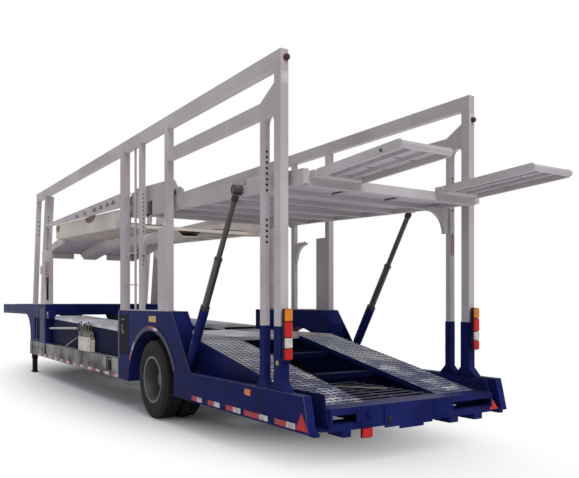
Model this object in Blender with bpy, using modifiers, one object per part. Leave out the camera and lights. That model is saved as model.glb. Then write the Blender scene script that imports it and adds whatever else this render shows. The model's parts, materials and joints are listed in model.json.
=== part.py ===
"""Double-deck car transporter semi-trailer, parked on its landing legs.

Frame: +Y forward to the kingpin, +X right, +Z up, metres. The origin is on the ground,
in the middle of the outer box.
"""
import math

import bmesh
import bpy
from mathutils import Matrix, Vector

# Overall sizes
WIDTH = 2.55
HEIGHT = 3.80
LENGTH = 14.70
GAP = 0.0003            # running gap between faces that touch
OVERRUN = 0.02          # how far a cutter passes the face that it cuts
LAP = 0.004             # how far two plates of one welded piece sink into each other
HALF = WIDTH / 2
Y_NOSE = LENGTH / 2
Y_TAIL = -LENGTH / 2

# Wheels
AXLE_Y = -2.87
TYRE_R = 0.51
TYRE_WIDTH = 0.250
TYRE_BEAD_R = 0.286
TYRE_SHOULDER = 0.055
DUAL_SPACING = 0.286
DUAL_SET_IN = 0.28
DUAL_CENTRE_X = HALF - DUAL_SET_IN
RIM_R = 0.2857
RIM_FLANGE_R = 0.306
RIM_WALL = 0.012
RIM_FLANGE_OFF = 0.010
HUB_R = 0.12
HUB_BORE_R = 0.051
WHEEL_SIDES = 40

# Main beams, axle and springs
BEAM_SET_IN = 0.745
BEAM_X = HALF - BEAM_SET_IN
AXLE_TUBE_R = 0.068
SPRING_WIDTH = 0.075
DRUM_CLEAR = 0.0325
AXLE_TUBE_HALF = BEAM_X + SPRING_WIDTH / 2 + DRUM_CLEAR
DRUM_R = 0.195
DRUM_WIDTH = 0.10
DRUM_OUT_X = AXLE_TUBE_HALF + DRUM_WIDTH
SPINDLE_R = 0.050
SPINDLE_REACH = 0.135
SPINDLE_OUT_X = DUAL_CENTRE_X + SPINDLE_REACH
ROUND_SIDES = 20
SPRING_HALF = 0.55
SPRING_RISE = 0.06
LEAF = 0.016
LEAVES = 5
HANGER_HALF = 0.06
SEAT_HEIGHT = 0.035

# Beam sections and cross members
FLANGE_WIDTH = 0.10
FLANGE = 0.014
WEB = 0.012
BEAM_REAR_Y = -6.20
STEP_RUN = 0.10
BEAM_LOW = 0.60
BEAM_OVER_AXLE = 0.80
BEAM_TAIL = 0.40
CRANK_TOP_Y = 4.55
CRANK_FOOT_Y = 3.60
AXLE_CRANK_Y = -1.15
WELL_FRONT_Y = -4.40
CROSS_WIDTH = 0.06
NECK_CROSSES = 5
MID_CROSSES = 5
HUMP_CROSSES = 2
REAR_CROSSES = 3
CROSS_DEPTH = 0.11
NECK_CROSS_DEPTH = 0.13
WELL_FLOOR_Z = 0.44
WELL_FLOOR = 0.012
WELL_RIB = 0.03
WELL_RIB_STEP = 0.24

# Gooseneck
NECK_TOP = 1.48
NECK_UNDER = 1.26
NECK_PLATE = 0.018
NECK_END_Y = 2.85
NECK_SIDE = 0.08
NECK_ARC_R = 0.47
NECK_LEG_Y = 4.20
NECK_RECESS = 0.05
NECK_RIB = 0.06
POCKET_LONG_Y = 3.35
POCKET_LONG = 0.47
POCKET_SHORT_Y = 2.90
POCKET_SHORT = 0.09
FRONT_RAIL = 0.08
BEAM_NECK_UNDER = 1.27
KINGPIN_SET_BACK = 0.90
RUBBING_MARGIN = 0.02
RUBBING_LENGTH = 1.10
RUBBING = 0.012
KINGPIN_HEAD_R = 0.0365
KINGPIN_NECK_R = 0.0254
KINGPIN_LENGTH = 0.084
KINGPIN_HEAD = 0.023

# Lower deck
SILL_Z = 0.69
SKIRT_Z = 0.405
TRACK = 0.05
TRACK_SKIN = 0.008
TRACK_LIP = 0.012
TRACK_SET_IN = 0.115
TRACK_MARGIN = 0.005
TRACK_IN = BEAM_X - FLANGE_WIDTH / 2 - TRACK_MARGIN
TRACK_OUT = HALF - TRACK_SET_IN
TRACK_FRONT_Y = 2.80
TRACK_FRONT_Z = 1.24
TRACK_REAR_Y = -1.56
TRACK_REAR_Z = 1.12
HUMP_FRONT_Y = -1.58
HUMP_REAR_Y = -3.70
HUMP_TOP = 1.075
HUMP_THICK = 0.045
RAMP_FRONT_Y = -3.72
RAMP_FRONT_Z = 1.07
RAMP_REAR_Y = -6.21
RAMP_REAR_Z = 0.573

# Side boxes and fender boxes
BOX_DEPTH = 0.325
BOX_IN = HALF - BOX_DEPTH
BOX_REAR_Y = -1.577
BOX_FRONT_Y = 3.66
SKIRT_FRONT_Y = 4.25
SKIRT = 0.018
SEAM = 0.016
SEAM_DEPTH = 0.02
DOORS = 4
DOOR_WIDTH = 1.3467
FIRST_SEAM_Y = 2.96
FENDER_DEPTH = 0.225
FENDER_IN = HALF - FENDER_DEPTH
FLARE_PROUD = 0.006
FENDER_OUT = HALF - FLARE_PROUD
HUMP_CLEAR = 0.005
HUMP_HALF = FENDER_IN - HUMP_CLEAR
FENDER_TOP = 1.40
FENDER_TOP_REAR_Y = -3.52
FENDER_BASE_REAR_Y = -4.07
FENDER_FRONT_Y = -1.58
ARCH_Y = -2.84
ARCH_Z = 0.31
ARCH_R = 0.83
FLARE = 0.07
FENDER_SKIN = 0.007
POCKET_Y = -3.66

# Rear side beams, posts and rails
BEAM_END_Y = -6.44
BEAM_END_TOP_Y = -6.36
BEAM_FRONT_Y = -3.60
BEAM_WEB_FRONT_Y = -3.70
BEAM_Z0 = 0.38
BEAM_TOP = 0.70
BEAM_WALL = 0.085
BEAM_WALL_X = HALF - BEAM_WALL
BEAM_DEPTH = 0.23
BEAM_INNER_X = HALF - BEAM_DEPTH
RAMP_CLEAR = 0.015
RAMP_OUT = BEAM_INNER_X - RAMP_CLEAR
PLATE = 0.012
POCKET_END_Y = -4.08
POCKET_FRONT_Y = -3.712
POST_WIDTH = 0.085
POST_IN = HALF - POST_WIDTH
REAR_POST_Y = -6.00
REAR_POST_DEPTH = 0.11
PIN_POST_Y = -5.71
PIN_POST_DEPTH = 0.07
PIN_POST_WIDTH = 0.065
PIN_POST_IN = HALF - PIN_POST_WIDTH
FOOT_TOP = 1.29
FOOT_GROW = 0.006
GUSSET_RISE = 0.09
GUSSET_RUN = 0.09
RAIL_Z = 3.65
RAIL_FRONT_Y = 3.63
MID_RAIL_Z = 3.25
MID_RAIL_TOP = 3.385
MID_RAIL_WIDTH = 0.075
MID_RAIL_IN = HALF - MID_RAIL_WIDTH
GUSSET_TOP = 3.52
PIN_POST_TOP = 3.26

# Rear cross beam
CROSS_END_Y = -6.44
CROSS_FRONT_Y = -6.22
CROSS_TOP = 0.58
BRACKET_DROP = 0.06
# Brackets under the rear cross beam, columns centre and width as shares of HALF
BRACKETS = ((-0.676, 0.070), (0.376, 0.094), (0.651, 0.094))

# Portal over the axle and portal at the neck
SILL = 0.012
C_POST_Y = -3.41
C_POST_DEPTH = 0.09
SLOT_PLATE_Y = -3.08
SLOT_PLATE_TOP = 2.45
B_BAR_Y = -2.50
B_BAR_DEPTH = 0.09
B_BAR_WIDTH = 0.06
B_BAR_SET_IN = 0.01
B_BAR_OUT = HALF - B_BAR_SET_IN
B_BAR_IN = B_BAR_OUT - B_BAR_WIDTH
CONDUIT_Y = -2.20
CONDUIT_R = 0.016
CONDUIT_X = (B_BAR_IN + B_BAR_OUT) / 2
A_POST_Y = -1.835
A_POST_DEPTH = 0.155
A_POST_WIDTH = 0.092
A_POST_IN = HALF - A_POST_WIDTH
SILL_MARGIN = 0.03
FRONT_PIN_WIDTH = 0.155
FRONT_PIN_IN = HALF - FRONT_PIN_WIDTH
FRONT_PIN_TOP_Y = 2.77
FRONT_PIN_DEPTH = 0.10
SLEEVE_Y = 2.855
SLEEVE_FOOT_Y = 3.27
SLEEVE_TOP = 2.45
SLEEVE_SHOULDER = 0.11
SLEEVE_LEAN = 0.23
FRONT_POST_TOP_Y = 3.53
FRONT_POST_FOOT_Y = 3.86
FRONT_POST_DEPTH = 0.10
FRONT_FOOT_DEPTH = 0.13
STRIP_TOP = 3.09
STRIP_FRONT_Z = 3.045
STRIP_REAR_Z = 2.90
STRIP_WIDTH = 0.062
STRIP_SET_IN = 0.013
STRIP_OUT = HALF - STRIP_SET_IN
STRIP_IN = STRIP_OUT - STRIP_WIDTH

# Upper decks
HINGE_Y = -1.75
HINGE_Z = 2.85
PIVOT_R = 0.030
PIVOT_HOLE_R = 0.0308
BOSS_R = 0.075
DECK_CLEAR = 0.033
DECK_BEAM = 0.06
DECK_OUT = A_POST_IN - DECK_CLEAR
DECK_IN = DECK_OUT - DECK_BEAM
DECK_DEPTH = 0.42
DECK_TAIL_Y = -6.18
DECK_FLOOR = 0.012
DECK_FLOOR_TOP_TAIL = 2.63
DECK_FLOOR_TOP_HINGE = 2.765
DECK_FLOOR_FRONT_Y = -1.90
DECK_RIB = 0.05
DECK_RIB_WIDTH = 0.06
DECK_RIB_STEP = 0.60
END_BAR = 0.09
CHEEK = 0.014
CHEEK_REAR_Y = -3.62
CHEEK_FRONT_Y = -3.31
CHEEK_TOP = 2.93
CHEEK_CROWN = 0.10
FRONT_DECK_HINGE_Y = -1.55
FRONT_DECK_HINGE_Z = 2.66
FRONT_DECK_END_Y = 2.50
FRONT_DECK_DEPTH = 0.28
FRONT_FLOOR_REAR_Y = -1.35
FRONT_FLOOR_REAR = 0.04
FRONT_FLOOR_FRONT = 0.16
FRONT_RIB = 0.04
NOSE_SET_IN = 0.04
NOSE_BAR = 0.06
NOSE_OUT = DECK_IN - NOSE_SET_IN
NOSE_END_Y = 4.13
NOSE_TOP = 2.613
NOSE_BOTTOM = 2.494
NOSE_BAR_DEPTH = 0.08
NOSE_NOTCH_X = 0.38
KEEL_REAR_Y = -1.28
KEEL_BEND_Y = 2.60
KEEL_TOP_HALF = 0.226
KEEL_FOOT_HALF = 0.135

# Tail flaps
FLAP_WIDTH = 0.55
FLAP_CLEAR = 0.03
FLAP_OUT = DECK_IN - FLAP_CLEAR
FLAP_IN = FLAP_OUT - FLAP_WIDTH
FLAP_HINGE_Y = -6.25
FLAP_HINGE_Z = 2.65
FLAP_TIP_RISE = 0.05
FLAP_DEPTH = 0.076
FLAP_BAR = 0.030
FLAP_PLATE = 0.012
FLAP_PIN_R = 0.016
FLAP_HOLE_R = 0.0165
KNUCKLE_R = 0.032
LUG = 0.022
TIP_BAR_R = 0.030

# Lift cylinders, measured along the cylinder from the base pin
CYL_SET_IN = 0.068
CYL_X = HALF - CYL_SET_IN
CYL_BASE_Y = -3.78
CYL_BASE_Z = 0.57
CYL_EYE_Y = -5.07
CYL_EYE_Z = 2.66
BARREL_R = 0.048
BARREL_BORE_R = 0.0415
COLLAR_R = 0.0525
STAGE_R = 0.041
STAGE_BORE_R = 0.0315
ROD_R = 0.031
BARREL_LENGTH = 1.046
COLLAR_LENGTH = 0.10
BARREL_FLOOR = 0.07
STAGE_START = 0.68
STAGE_END = 1.66
STAGE_HEAD = 0.03
ROD_START = 1.285
EYE_R = 0.052
EYE_HALF = 0.045
EYE_PIN_R = 0.022
EYE_PIN_HEAD = 0.004

# Landing legs
LEG_SET_IN = 0.08
LEG_X = HALF - LEG_SET_IN
LEG_Y = 4.144
LEG_HALF = 0.055
LEG_INNER_HALF = 0.045
LEG_OUTER_Z = 0.30
SHOE_HALF = 0.11
SHOE = 0.02


def clear_scene():
    for thing in list(bpy.data.objects):
        bpy.data.objects.remove(thing, do_unlink=True)


def new_collection(name):
    group = bpy.data.collections.new(name)
    bpy.context.scene.collection.children.link(group)
    return group


def new_material(name, colour, roughness, metallic):
    material = bpy.data.materials.new(name)
    material.use_nodes = True
    shader = material.node_tree.nodes["Principled BSDF"]
    shader.inputs["Base Color"].default_value = (*colour, 1)
    shader.inputs["Roughness"].default_value = roughness
    shader.inputs["Metallic"].default_value = metallic
    return material


def from_bmesh(shape, work, name="solid"):
    """A closed bmesh becomes an object of the work collection, faces turned out."""
    bmesh.ops.recalc_face_normals(shape, faces=shape.faces)
    mesh = bpy.data.meshes.new(name)
    shape.to_mesh(mesh)
    shape.free()
    thing = bpy.data.objects.new(name, mesh)
    work.objects.link(thing)
    return thing


def box(work, x0, x1, y0, y1, z0, z1):
    shape = bmesh.new()
    bmesh.ops.create_cube(shape, size=1)
    size = Matrix.Diagonal((abs(x1 - x0), y1 - y0, z1 - z0, 1))
    middle = Matrix.Translation(((x0 + x1) / 2, (y0 + y1) / 2, (z0 + z1) / 2))
    bmesh.ops.transform(shape, matrix=middle @ size, verts=shape.verts)
    return from_bmesh(shape, work)


def cylinder(work, start, end, radius, sides=ROUND_SIDES, turn=0):
    """A round bar from start to end, one flat turned to the local side."""
    start = Vector(start)
    along = Vector(end) - start
    shape = bmesh.new()
    bmesh.ops.create_cone(shape, cap_ends=True, segments=sides, radius1=radius,
                          radius2=radius, depth=along.length)
    place = (Matrix.Translation(start + along / 2)
             @ along.to_track_quat("Z", "X").to_matrix().to_4x4()
             @ Matrix.Rotation(turn, 4, "Z"))
    bmesh.ops.transform(shape, matrix=place, verts=shape.verts)
    return from_bmesh(shape, work)


def curve_solid(work, points, thickness, place):
    """A flat outline as a filled 2D curve, extruded, turned to a mesh and welded."""
    curve = bpy.data.curves.new("outline", "CURVE")
    curve.dimensions = "2D"
    curve.fill_mode = "BOTH"
    curve.extrude = thickness / 2
    spline = curve.splines.new("POLY")
    spline.points.add(len(points) - 1)
    for point, (a, b) in zip(spline.points, points):
        point.co = (a, b, 0, 1)
    spline.use_cyclic_u = True
    flat = bpy.data.objects.new("outline", curve)
    work.objects.link(flat)
    graph = bpy.context.evaluated_depsgraph_get()
    mesh = bpy.data.meshes.new_from_object(flat.evaluated_get(graph))
    bpy.data.objects.remove(flat)
    bpy.data.curves.remove(curve)
    shape = bmesh.new()
    shape.from_mesh(mesh)
    bpy.data.meshes.remove(mesh)
    bmesh.ops.remove_doubles(shape, verts=shape.verts, dist=GAP / 3)
    bmesh.ops.transform(shape, matrix=place, verts=shape.verts)
    return from_bmesh(shape, work)


def side_outline(work, points, x0, x1):
    """Points (y, z) extruded along X."""
    turn = Matrix(((0, 0, 1, 0), (1, 0, 0, 0), (0, 1, 0, 0), (0, 0, 0, 1)))
    place = Matrix.Translation(((x0 + x1) / 2, 0, 0)) @ turn
    return curve_solid(work, points, abs(x1 - x0), place)


def arc(centre, radius, start, end, steps):
    """Points (a, b) on a circle, start and end in degrees."""
    turns = [math.radians(start + (end - start) * i / steps) for i in range(steps + 1)]
    return [(centre[0] + radius * math.cos(t), centre[1] + radius * math.sin(t)) for t in turns]


def combine(work, base, tools, operation):
    """One exact Boolean of the base with all the tools, applied, tools removed."""
    if not tools:
        return base
    group = bpy.data.collections.new("tools")
    bpy.context.scene.collection.children.link(group)
    for tool in tools:
        group.objects.link(tool)
        tool.hide_render = True
        tool.display_type = "WIRE"
    change = base.modifiers.new("change", "BOOLEAN")
    change.operation = operation
    change.solver = "EXACT"
    change.operand_type = "COLLECTION"
    change.collection = group
    graph = bpy.context.evaluated_depsgraph_get()
    mesh = bpy.data.meshes.new_from_object(base.evaluated_get(graph))
    base.modifiers.clear()
    old = base.data
    base.data = mesh
    bpy.data.meshes.remove(old)
    for tool in tools:
        bpy.data.objects.remove(tool, do_unlink=True)
    bpy.data.collections.remove(group)
    return base


def join(work, solids):
    return combine(work, solids[0], solids[1:], "UNION")


def cut(work, base, cutters):
    return combine(work, base, cutters, "DIFFERENCE")


def turned(work, profile, centre, axis, sides):
    """A closed profile of (radius, height) turned about its own axis by a Screw modifier."""
    mesh = bpy.data.meshes.new("profile")
    count = len(profile)
    edges = [(i, (i + 1) % count) for i in range(count)]
    mesh.from_pydata([(r, 0, h) for r, h in profile], edges, [])
    thing = bpy.data.objects.new("profile", mesh)
    work.objects.link(thing)
    screw = thing.modifiers.new("screw", "SCREW")
    screw.steps = screw.render_steps = sides
    screw.use_merge_vertices = True
    screw.merge_threshold = GAP / 3
    graph = bpy.context.evaluated_depsgraph_get()
    made = bpy.data.meshes.new_from_object(thing.evaluated_get(graph))
    bpy.data.objects.remove(thing)
    bpy.data.meshes.remove(mesh)
    shape = bmesh.new()
    shape.from_mesh(made)
    bpy.data.meshes.remove(made)
    bmesh.ops.remove_doubles(shape, verts=shape.verts, dist=GAP / 3)
    place = (Matrix.Translation(centre)
             @ Vector(axis).to_track_quat("Z", "X").to_matrix().to_4x4())
    bmesh.ops.transform(shape, matrix=place, verts=shape.verts)
    return from_bmesh(shape, work)


def finish(parts, work, solid, name, material, origin=None):
    """A finished solid goes to the parts collection, with its origin on its joint's axis."""
    solid.name = name
    solid.data.name = name
    solid.data.materials.clear()
    solid.data.materials.append(material)
    if origin is not None:
        solid.data.transform(Matrix.Translation(-Vector(origin)))
        solid.location = origin
    work.objects.unlink(solid)
    parts.objects.link(solid)
    return solid


def lerp(y, y0, z0, y1, z1):
    return z0 + (z1 - z0) * (y - y0) / (y1 - y0)


def track_top(y):
    """Height of the front tracks' tread."""
    return lerp(y, TRACK_REAR_Y, TRACK_REAR_Z, TRACK_FRONT_Y, TRACK_FRONT_Z)


def ramp_top(y):
    """Height of the rear ramps' tread."""
    return lerp(y, RAMP_REAR_Y, RAMP_REAR_Z, RAMP_FRONT_Y, RAMP_FRONT_Z)


# Underside of the main beams, columns y, bottom z
BEAM_LOWS = (
    (Y_NOSE - FRONT_RAIL - GAP, BEAM_NECK_UNDER),
    (CRANK_TOP_Y, BEAM_NECK_UNDER),
    (CRANK_FOOT_Y, BEAM_LOW),
    (AXLE_CRANK_Y, BEAM_LOW),
    (HUMP_FRONT_Y - STEP_RUN, BEAM_OVER_AXLE),
    (HUMP_REAR_Y + STEP_RUN, BEAM_OVER_AXLE),
    (WELL_FRONT_Y, BEAM_TAIL),
    (BEAM_REAR_Y, BEAM_TAIL),
)
NECK_CROSS_FIRST_Y = 7.05
NECK_CROSS_LAST_Y = 3.50
MID_CROSS_FIRST_Y = 2.55
MID_CROSS_LAST_Y = -1.05
HUMP_CROSS_FIRST_Y = -2.20
HUMP_CROSS_LAST_Y = -3.58
REAR_CROSS_FIRST_Y = -4.35
REAR_CROSS_LAST_Y = -6.00


def beam_runs():
    """Top of the main beams as straight runs ((y, z), (y, z)), from the front to the tail."""
    ends = (BEAM_LOWS[0][0], NECK_END_Y + PLATE + GAP, HUMP_FRONT_Y + GAP, HUMP_REAR_Y - GAP,
            BEAM_REAR_Y)
    under = (
        lambda y: NECK_TOP - NECK_PLATE - GAP,
        lambda y: track_top(y) - TRACK - GAP,
        lambda y: HUMP_TOP - HUMP_THICK - GAP,
        lambda y: ramp_top(y) - TRACK - GAP,
    )
    return [((y0, level(y0)), (y1, level(y1))) for y0, y1, level in zip(ends, ends[1:], under)]


def frame_top(y):
    """Height of the frame's top under the plate, tracks, hump or ramps at y."""
    for (y0, z0), (y1, z1) in beam_runs():
        if y1 <= y <= y0:
            return lerp(y, y0, z0, y1, z1)
    return BEAM_LOW


def frame_bottom(y):
    """Height of the main beams' underside at y."""
    for (y0, z0), (y1, z1) in zip(BEAM_LOWS, BEAM_LOWS[1:]):
        if y1 <= y <= y0:
            return lerp(y, y0, z0, y1, z1)
    return BEAM_LOW


def ladder(work, front, rear, cross):
    """Two I-beams from front to rear with level cross members through them.

    cross is (count, first y, last y, half width, depth)."""
    runs = []
    for (y0, z0), (y1, z1) in beam_runs():
        a, b = min(y0, front), max(y1, rear)
        if a - b > LAP:
            runs.append(((a, lerp(a, y0, z0, y1, z1)), (b, lerp(b, y0, z0, y1, z1))))
    lows = [(front, frame_bottom(front))]
    lows += [point for point in BEAM_LOWS if rear + LAP < point[0] < front - LAP]
    lows += [(rear, frame_bottom(rear))]
    solids = []
    for x in (-BEAM_X, BEAM_X):
        web = [point for run in runs for point in run] + lows[::-1]
        solids.append(side_outline(work, web, x - WEB / 2, x + WEB / 2))
        inner, outer = x - FLANGE_WIDTH / 2, x + FLANGE_WIDTH / 2
        for (y0, z0), (y1, z1) in runs:
            upper = [(y0, z0), (y1, z1), (y1, z1 - FLANGE), (y0, z0 - FLANGE)]
            solids.append(side_outline(work, upper, inner, outer))
        lower = lows + [(y, z + FLANGE) for y, z in reversed(lows)]
        solids.append(side_outline(work, lower, inner, outer))
    count, first, last, half, depth = cross
    for i in range(count):
        y = first + (last - first) * i / (count - 1)
        y0, y1 = y - CROSS_WIDTH / 2, y + CROSS_WIDTH / 2
        outline = [(y0, frame_top(y0)), (y1, frame_top(y1)),
                   (y1, frame_top(y1) - depth), (y0, frame_top(y0) - depth)]
        solids.append(side_outline(work, outline, -half, half))
    return solids


def neck_frame(work):
    """Gooseneck's length of the main beams, cranked down behind the landing legs."""
    return join(work, ladder(work, BEAM_LOWS[0][0], NECK_END_Y + PLATE + GAP,
                             (NECK_CROSSES, NECK_CROSS_FIRST_Y, NECK_CROSS_LAST_Y,
                              HALF - NECK_SIDE - GAP, NECK_CROSS_DEPTH)))


def middle_frame(work):
    """Middle length of the main beams with the outer webs that stand on the side boxes."""
    front, rear = NECK_END_Y + PLATE, HUMP_FRONT_Y + GAP
    solids = ladder(work, front, rear, (MID_CROSSES, MID_CROSS_FIRST_Y, MID_CROSS_LAST_Y,
                                        TRACK_OUT, CROSS_DEPTH))
    web_front = NECK_END_Y - GAP
    web = [(web_front, SILL_Z + GAP), (web_front, frame_top(web_front)),
           (rear, frame_top(rear)), (rear, SILL_Z + GAP)]
    for sign in (-1, 1):
        solids.append(side_outline(work, web, sign * (TRACK_OUT - WEB), sign * TRACK_OUT))
    return join(work, solids)


def tail_frame(work):
    """Main beams over the axle and down to the tail, before the rear well."""
    return join(work, ladder(work, HUMP_FRONT_Y, BEAM_REAR_Y,
                             (HUMP_CROSSES, HUMP_CROSS_FIRST_Y, HUMP_CROSS_LAST_Y,
                              HUMP_HALF - GAP, CROSS_DEPTH)) + well(work))


def well(work):
    """Floor plate, ribs and cross members of the rear well."""
    solids = [box(work, -BEAM_X, BEAM_X, BEAM_REAR_Y, WELL_FRONT_Y, WELL_FLOOR_Z - WELL_FLOOR,
                  WELL_FLOOR_Z)]
    for i in range(round((WELL_FRONT_Y - BEAM_REAR_Y) / WELL_RIB_STEP)):
        y = BEAM_REAR_Y + (i + 1 / 2) * WELL_RIB_STEP
        solids.append(box(work, -BEAM_X, BEAM_X, y, y + WELL_RIB, WELL_FLOOR_Z - LAP,
                          WELL_FLOOR_Z + WELL_RIB))
    for i in range(REAR_CROSSES):
        y = lerp(i, 0, REAR_CROSS_FIRST_Y, REAR_CROSSES - 1, REAR_CROSS_LAST_Y)
        y0, y1 = y - CROSS_WIDTH / 2, y + CROSS_WIDTH / 2
        outline = [(y0, frame_top(y0)), (y1, frame_top(y1)),
                   (y1, frame_top(y1) - CROSS_DEPTH / 2), (y0, frame_top(y0) - CROSS_DEPTH / 2)]
        solids.append(side_outline(work, outline, -BEAM_INNER_X + GAP, BEAM_INNER_X - GAP))
    return solids


def neck_side(work, sign):
    """Cranked side member of the gooseneck with two pockets pressed into its leg."""
    corner = (NECK_LEG_Y + NECK_ARC_R, NECK_UNDER - NECK_ARC_R)
    outline = [(NECK_END_Y, NECK_TOP), (NECK_END_Y, SILL_Z + GAP), (NECK_LEG_Y, SILL_Z + GAP)]
    outline += arc(corner, NECK_ARC_R, 180, 90, 8)
    outline += [(Y_NOSE, NECK_UNDER), (Y_NOSE, NECK_TOP)]
    side = side_outline(work, outline, sign * (HALF - NECK_SIDE), sign * HALF)
    z0, z1 = SILL_Z + NECK_RIB, NECK_UNDER - NECK_RIB
    face, depth = sign * (HALF + OVERRUN), sign * (HALF - NECK_RECESS)
    cutters = [box(work, depth, face, y, y + run, z0, z1)
               for y, run in ((POCKET_LONG_Y, POCKET_LONG), (POCKET_SHORT_Y, POCKET_SHORT))]
    return cut(work, side, cutters)


def neck_plate(work):
    """Deck plate of the gooseneck, its front rail and the bulkhead over the step."""
    half = HALF - NECK_SIDE - GAP
    under = NECK_TOP - NECK_PLATE
    return join(work, [
        box(work, -half, half, NECK_END_Y, Y_NOSE, under, NECK_TOP),
        box(work, -half, half, Y_NOSE - FRONT_RAIL, Y_NOSE, NECK_UNDER, under + LAP),
        box(work, -half, half, NECK_END_Y, NECK_END_Y + PLATE, NECK_UNDER, under + LAP),
    ])


def coupling_plate(work):
    """Rubbing plate with its two inch kingpin: head, neck and lower collar."""
    top = BEAM_NECK_UNDER - GAP
    y = Y_NOSE - KINGPIN_SET_BACK
    half = BEAM_X + FLANGE_WIDTH / 2 + RUBBING_MARGIN
    plate = box(work, -half, half, y - RUBBING_LENGTH / 2, y + RUBBING_LENGTH / 2,
                top - RUBBING, top)
    foot = -KINGPIN_LENGTH
    profile = [(0, LAP), (KINGPIN_HEAD_R, LAP), (KINGPIN_HEAD_R, -KINGPIN_HEAD),
               (KINGPIN_NECK_R, -KINGPIN_HEAD), (KINGPIN_NECK_R, foot + KINGPIN_HEAD),
               (KINGPIN_HEAD_R, foot + KINGPIN_HEAD), (KINGPIN_HEAD_R, foot), (0, foot)]
    pin = turned(work, profile, (0, y, top - RUBBING), (0, 0, 1), ROUND_SIDES)
    return join(work, [plate, pin])


def side_box(work, sign):
    """Long locker under the front deck with door seams, and the thin skirt before the leg."""
    body = join(work, [
        box(work, sign * BOX_IN, sign * HALF, BOX_REAR_Y, BOX_FRONT_Y, SKIRT_Z, SILL_Z),
        box(work, sign * (HALF - SKIRT), sign * HALF, BOX_FRONT_Y - LAP, SKIRT_FRONT_Y,
            SKIRT_Z, SILL_Z),
    ])
    cutters = []
    for i in range(DOORS):
        y = FIRST_SEAM_Y - i * DOOR_WIDTH
        cutters.append(box(work, sign * (HALF - SEAM_DEPTH), sign * (HALF + OVERRUN),
                           y, y + SEAM, SKIRT_Z - OVERRUN, SILL_Z + OVERRUN))
    return cut(work, body, cutters)


def fender_box(work, sign):
    """Box over the twin wheels, arched below, with the flare and the pocket for the cylinder."""
    low, high = SKIRT_Z, BEAM_TOP + GAP
    front = math.degrees(math.asin((low - ARCH_Z) / ARCH_R))
    rear = 180 - math.degrees(math.asin((high - ARCH_Z) / ARCH_R))
    bow = arc((ARCH_Y, ARCH_Z), ARCH_R, front, rear, 18)
    outline = [(FENDER_BASE_REAR_Y, high), (FENDER_TOP_REAR_Y, FENDER_TOP),
               (FENDER_FRONT_Y, FENDER_TOP), (FENDER_FRONT_Y, low)] + bow
    body = side_outline(work, outline, sign * FENDER_IN, sign * FENDER_OUT)
    rim = arc((ARCH_Y, ARCH_Z), ARCH_R + FLARE, rear, front, 18)
    flare = side_outline(work, bow + rim, sign * (FENDER_OUT - LAP), sign * HALF)
    body = join(work, [body, flare])
    pocket = box(work, sign * (FENDER_IN - OVERRUN), sign * (FENDER_OUT - FENDER_SKIN),
                 FENDER_BASE_REAR_Y - OVERRUN, POCKET_Y, high - OVERRUN, FENDER_TOP - PLATE)
    return cut(work, body, [pocket])


def channel(work, sign, y0, z0, y1, z1, inner, outer):
    """Folded track: a thin tread with a lip down each side, (y, z) of the tread at both ends."""
    def skin(depth):
        return [(y0, z0), (y1, z1), (y1, z1 - depth), (y0, z0 - depth)]
    solids = [side_outline(work, skin(TRACK_SKIN), sign * inner, sign * outer)]
    for x in (inner, outer - TRACK_LIP):
        solids.append(side_outline(work, skin(TRACK), sign * x, sign * (x + TRACK_LIP)))
    return join(work, solids)


def lower_track(work, sign):
    return channel(work, sign, TRACK_REAR_Y, TRACK_REAR_Z, TRACK_FRONT_Y, TRACK_FRONT_Z,
                   TRACK_IN, TRACK_OUT)


def rear_ramp(work, sign):
    return channel(work, sign, RAMP_REAR_Y, RAMP_REAR_Z, RAMP_FRONT_Y, RAMP_FRONT_Z,
                   TRACK_IN, RAMP_OUT)


def hump_platform(work):
    """Plate over the axle between the fender boxes, folded down at its front and rear."""
    under = HUMP_TOP - HUMP_THICK
    return join(work, [
        box(work, -HUMP_HALF, HUMP_HALF, HUMP_REAR_Y, HUMP_FRONT_Y, HUMP_TOP - PLATE, HUMP_TOP),
        box(work, -HUMP_HALF, HUMP_HALF, HUMP_REAR_Y, HUMP_REAR_Y + PLATE, under, HUMP_TOP - LAP),
        box(work, -HUMP_HALF, HUMP_HALF, HUMP_FRONT_Y - PLATE, HUMP_FRONT_Y, under,
            HUMP_TOP - LAP),
        box(work, -BEAM_X, -BEAM_X + FLANGE_WIDTH / 2, HUMP_REAR_Y + LAP, HUMP_FRONT_Y - LAP, under,
            HUMP_TOP - LAP),
        box(work, BEAM_X - FLANGE_WIDTH / 2, BEAM_X, HUMP_REAR_Y + LAP, HUMP_FRONT_Y - LAP, under,
            HUMP_TOP - LAP),
    ])


def post_foot(work, sign, inner, y, depth):
    """Blue sleeve under a post, flared at its base by a gusset each way."""
    x0 = sign * (inner - FOOT_GROW)
    y0, y1 = y - FOOT_GROW, y + depth + FOOT_GROW
    outline = [(y0 - GUSSET_RUN, BEAM_TOP - LAP), (y0, BEAM_TOP + GUSSET_RISE), (y0, FOOT_TOP),
               (y1, FOOT_TOP), (y1, BEAM_TOP + GUSSET_RISE), (y1 + GUSSET_RUN, BEAM_TOP - LAP)]
    return side_outline(work, outline, x0, sign * HALF)


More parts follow.
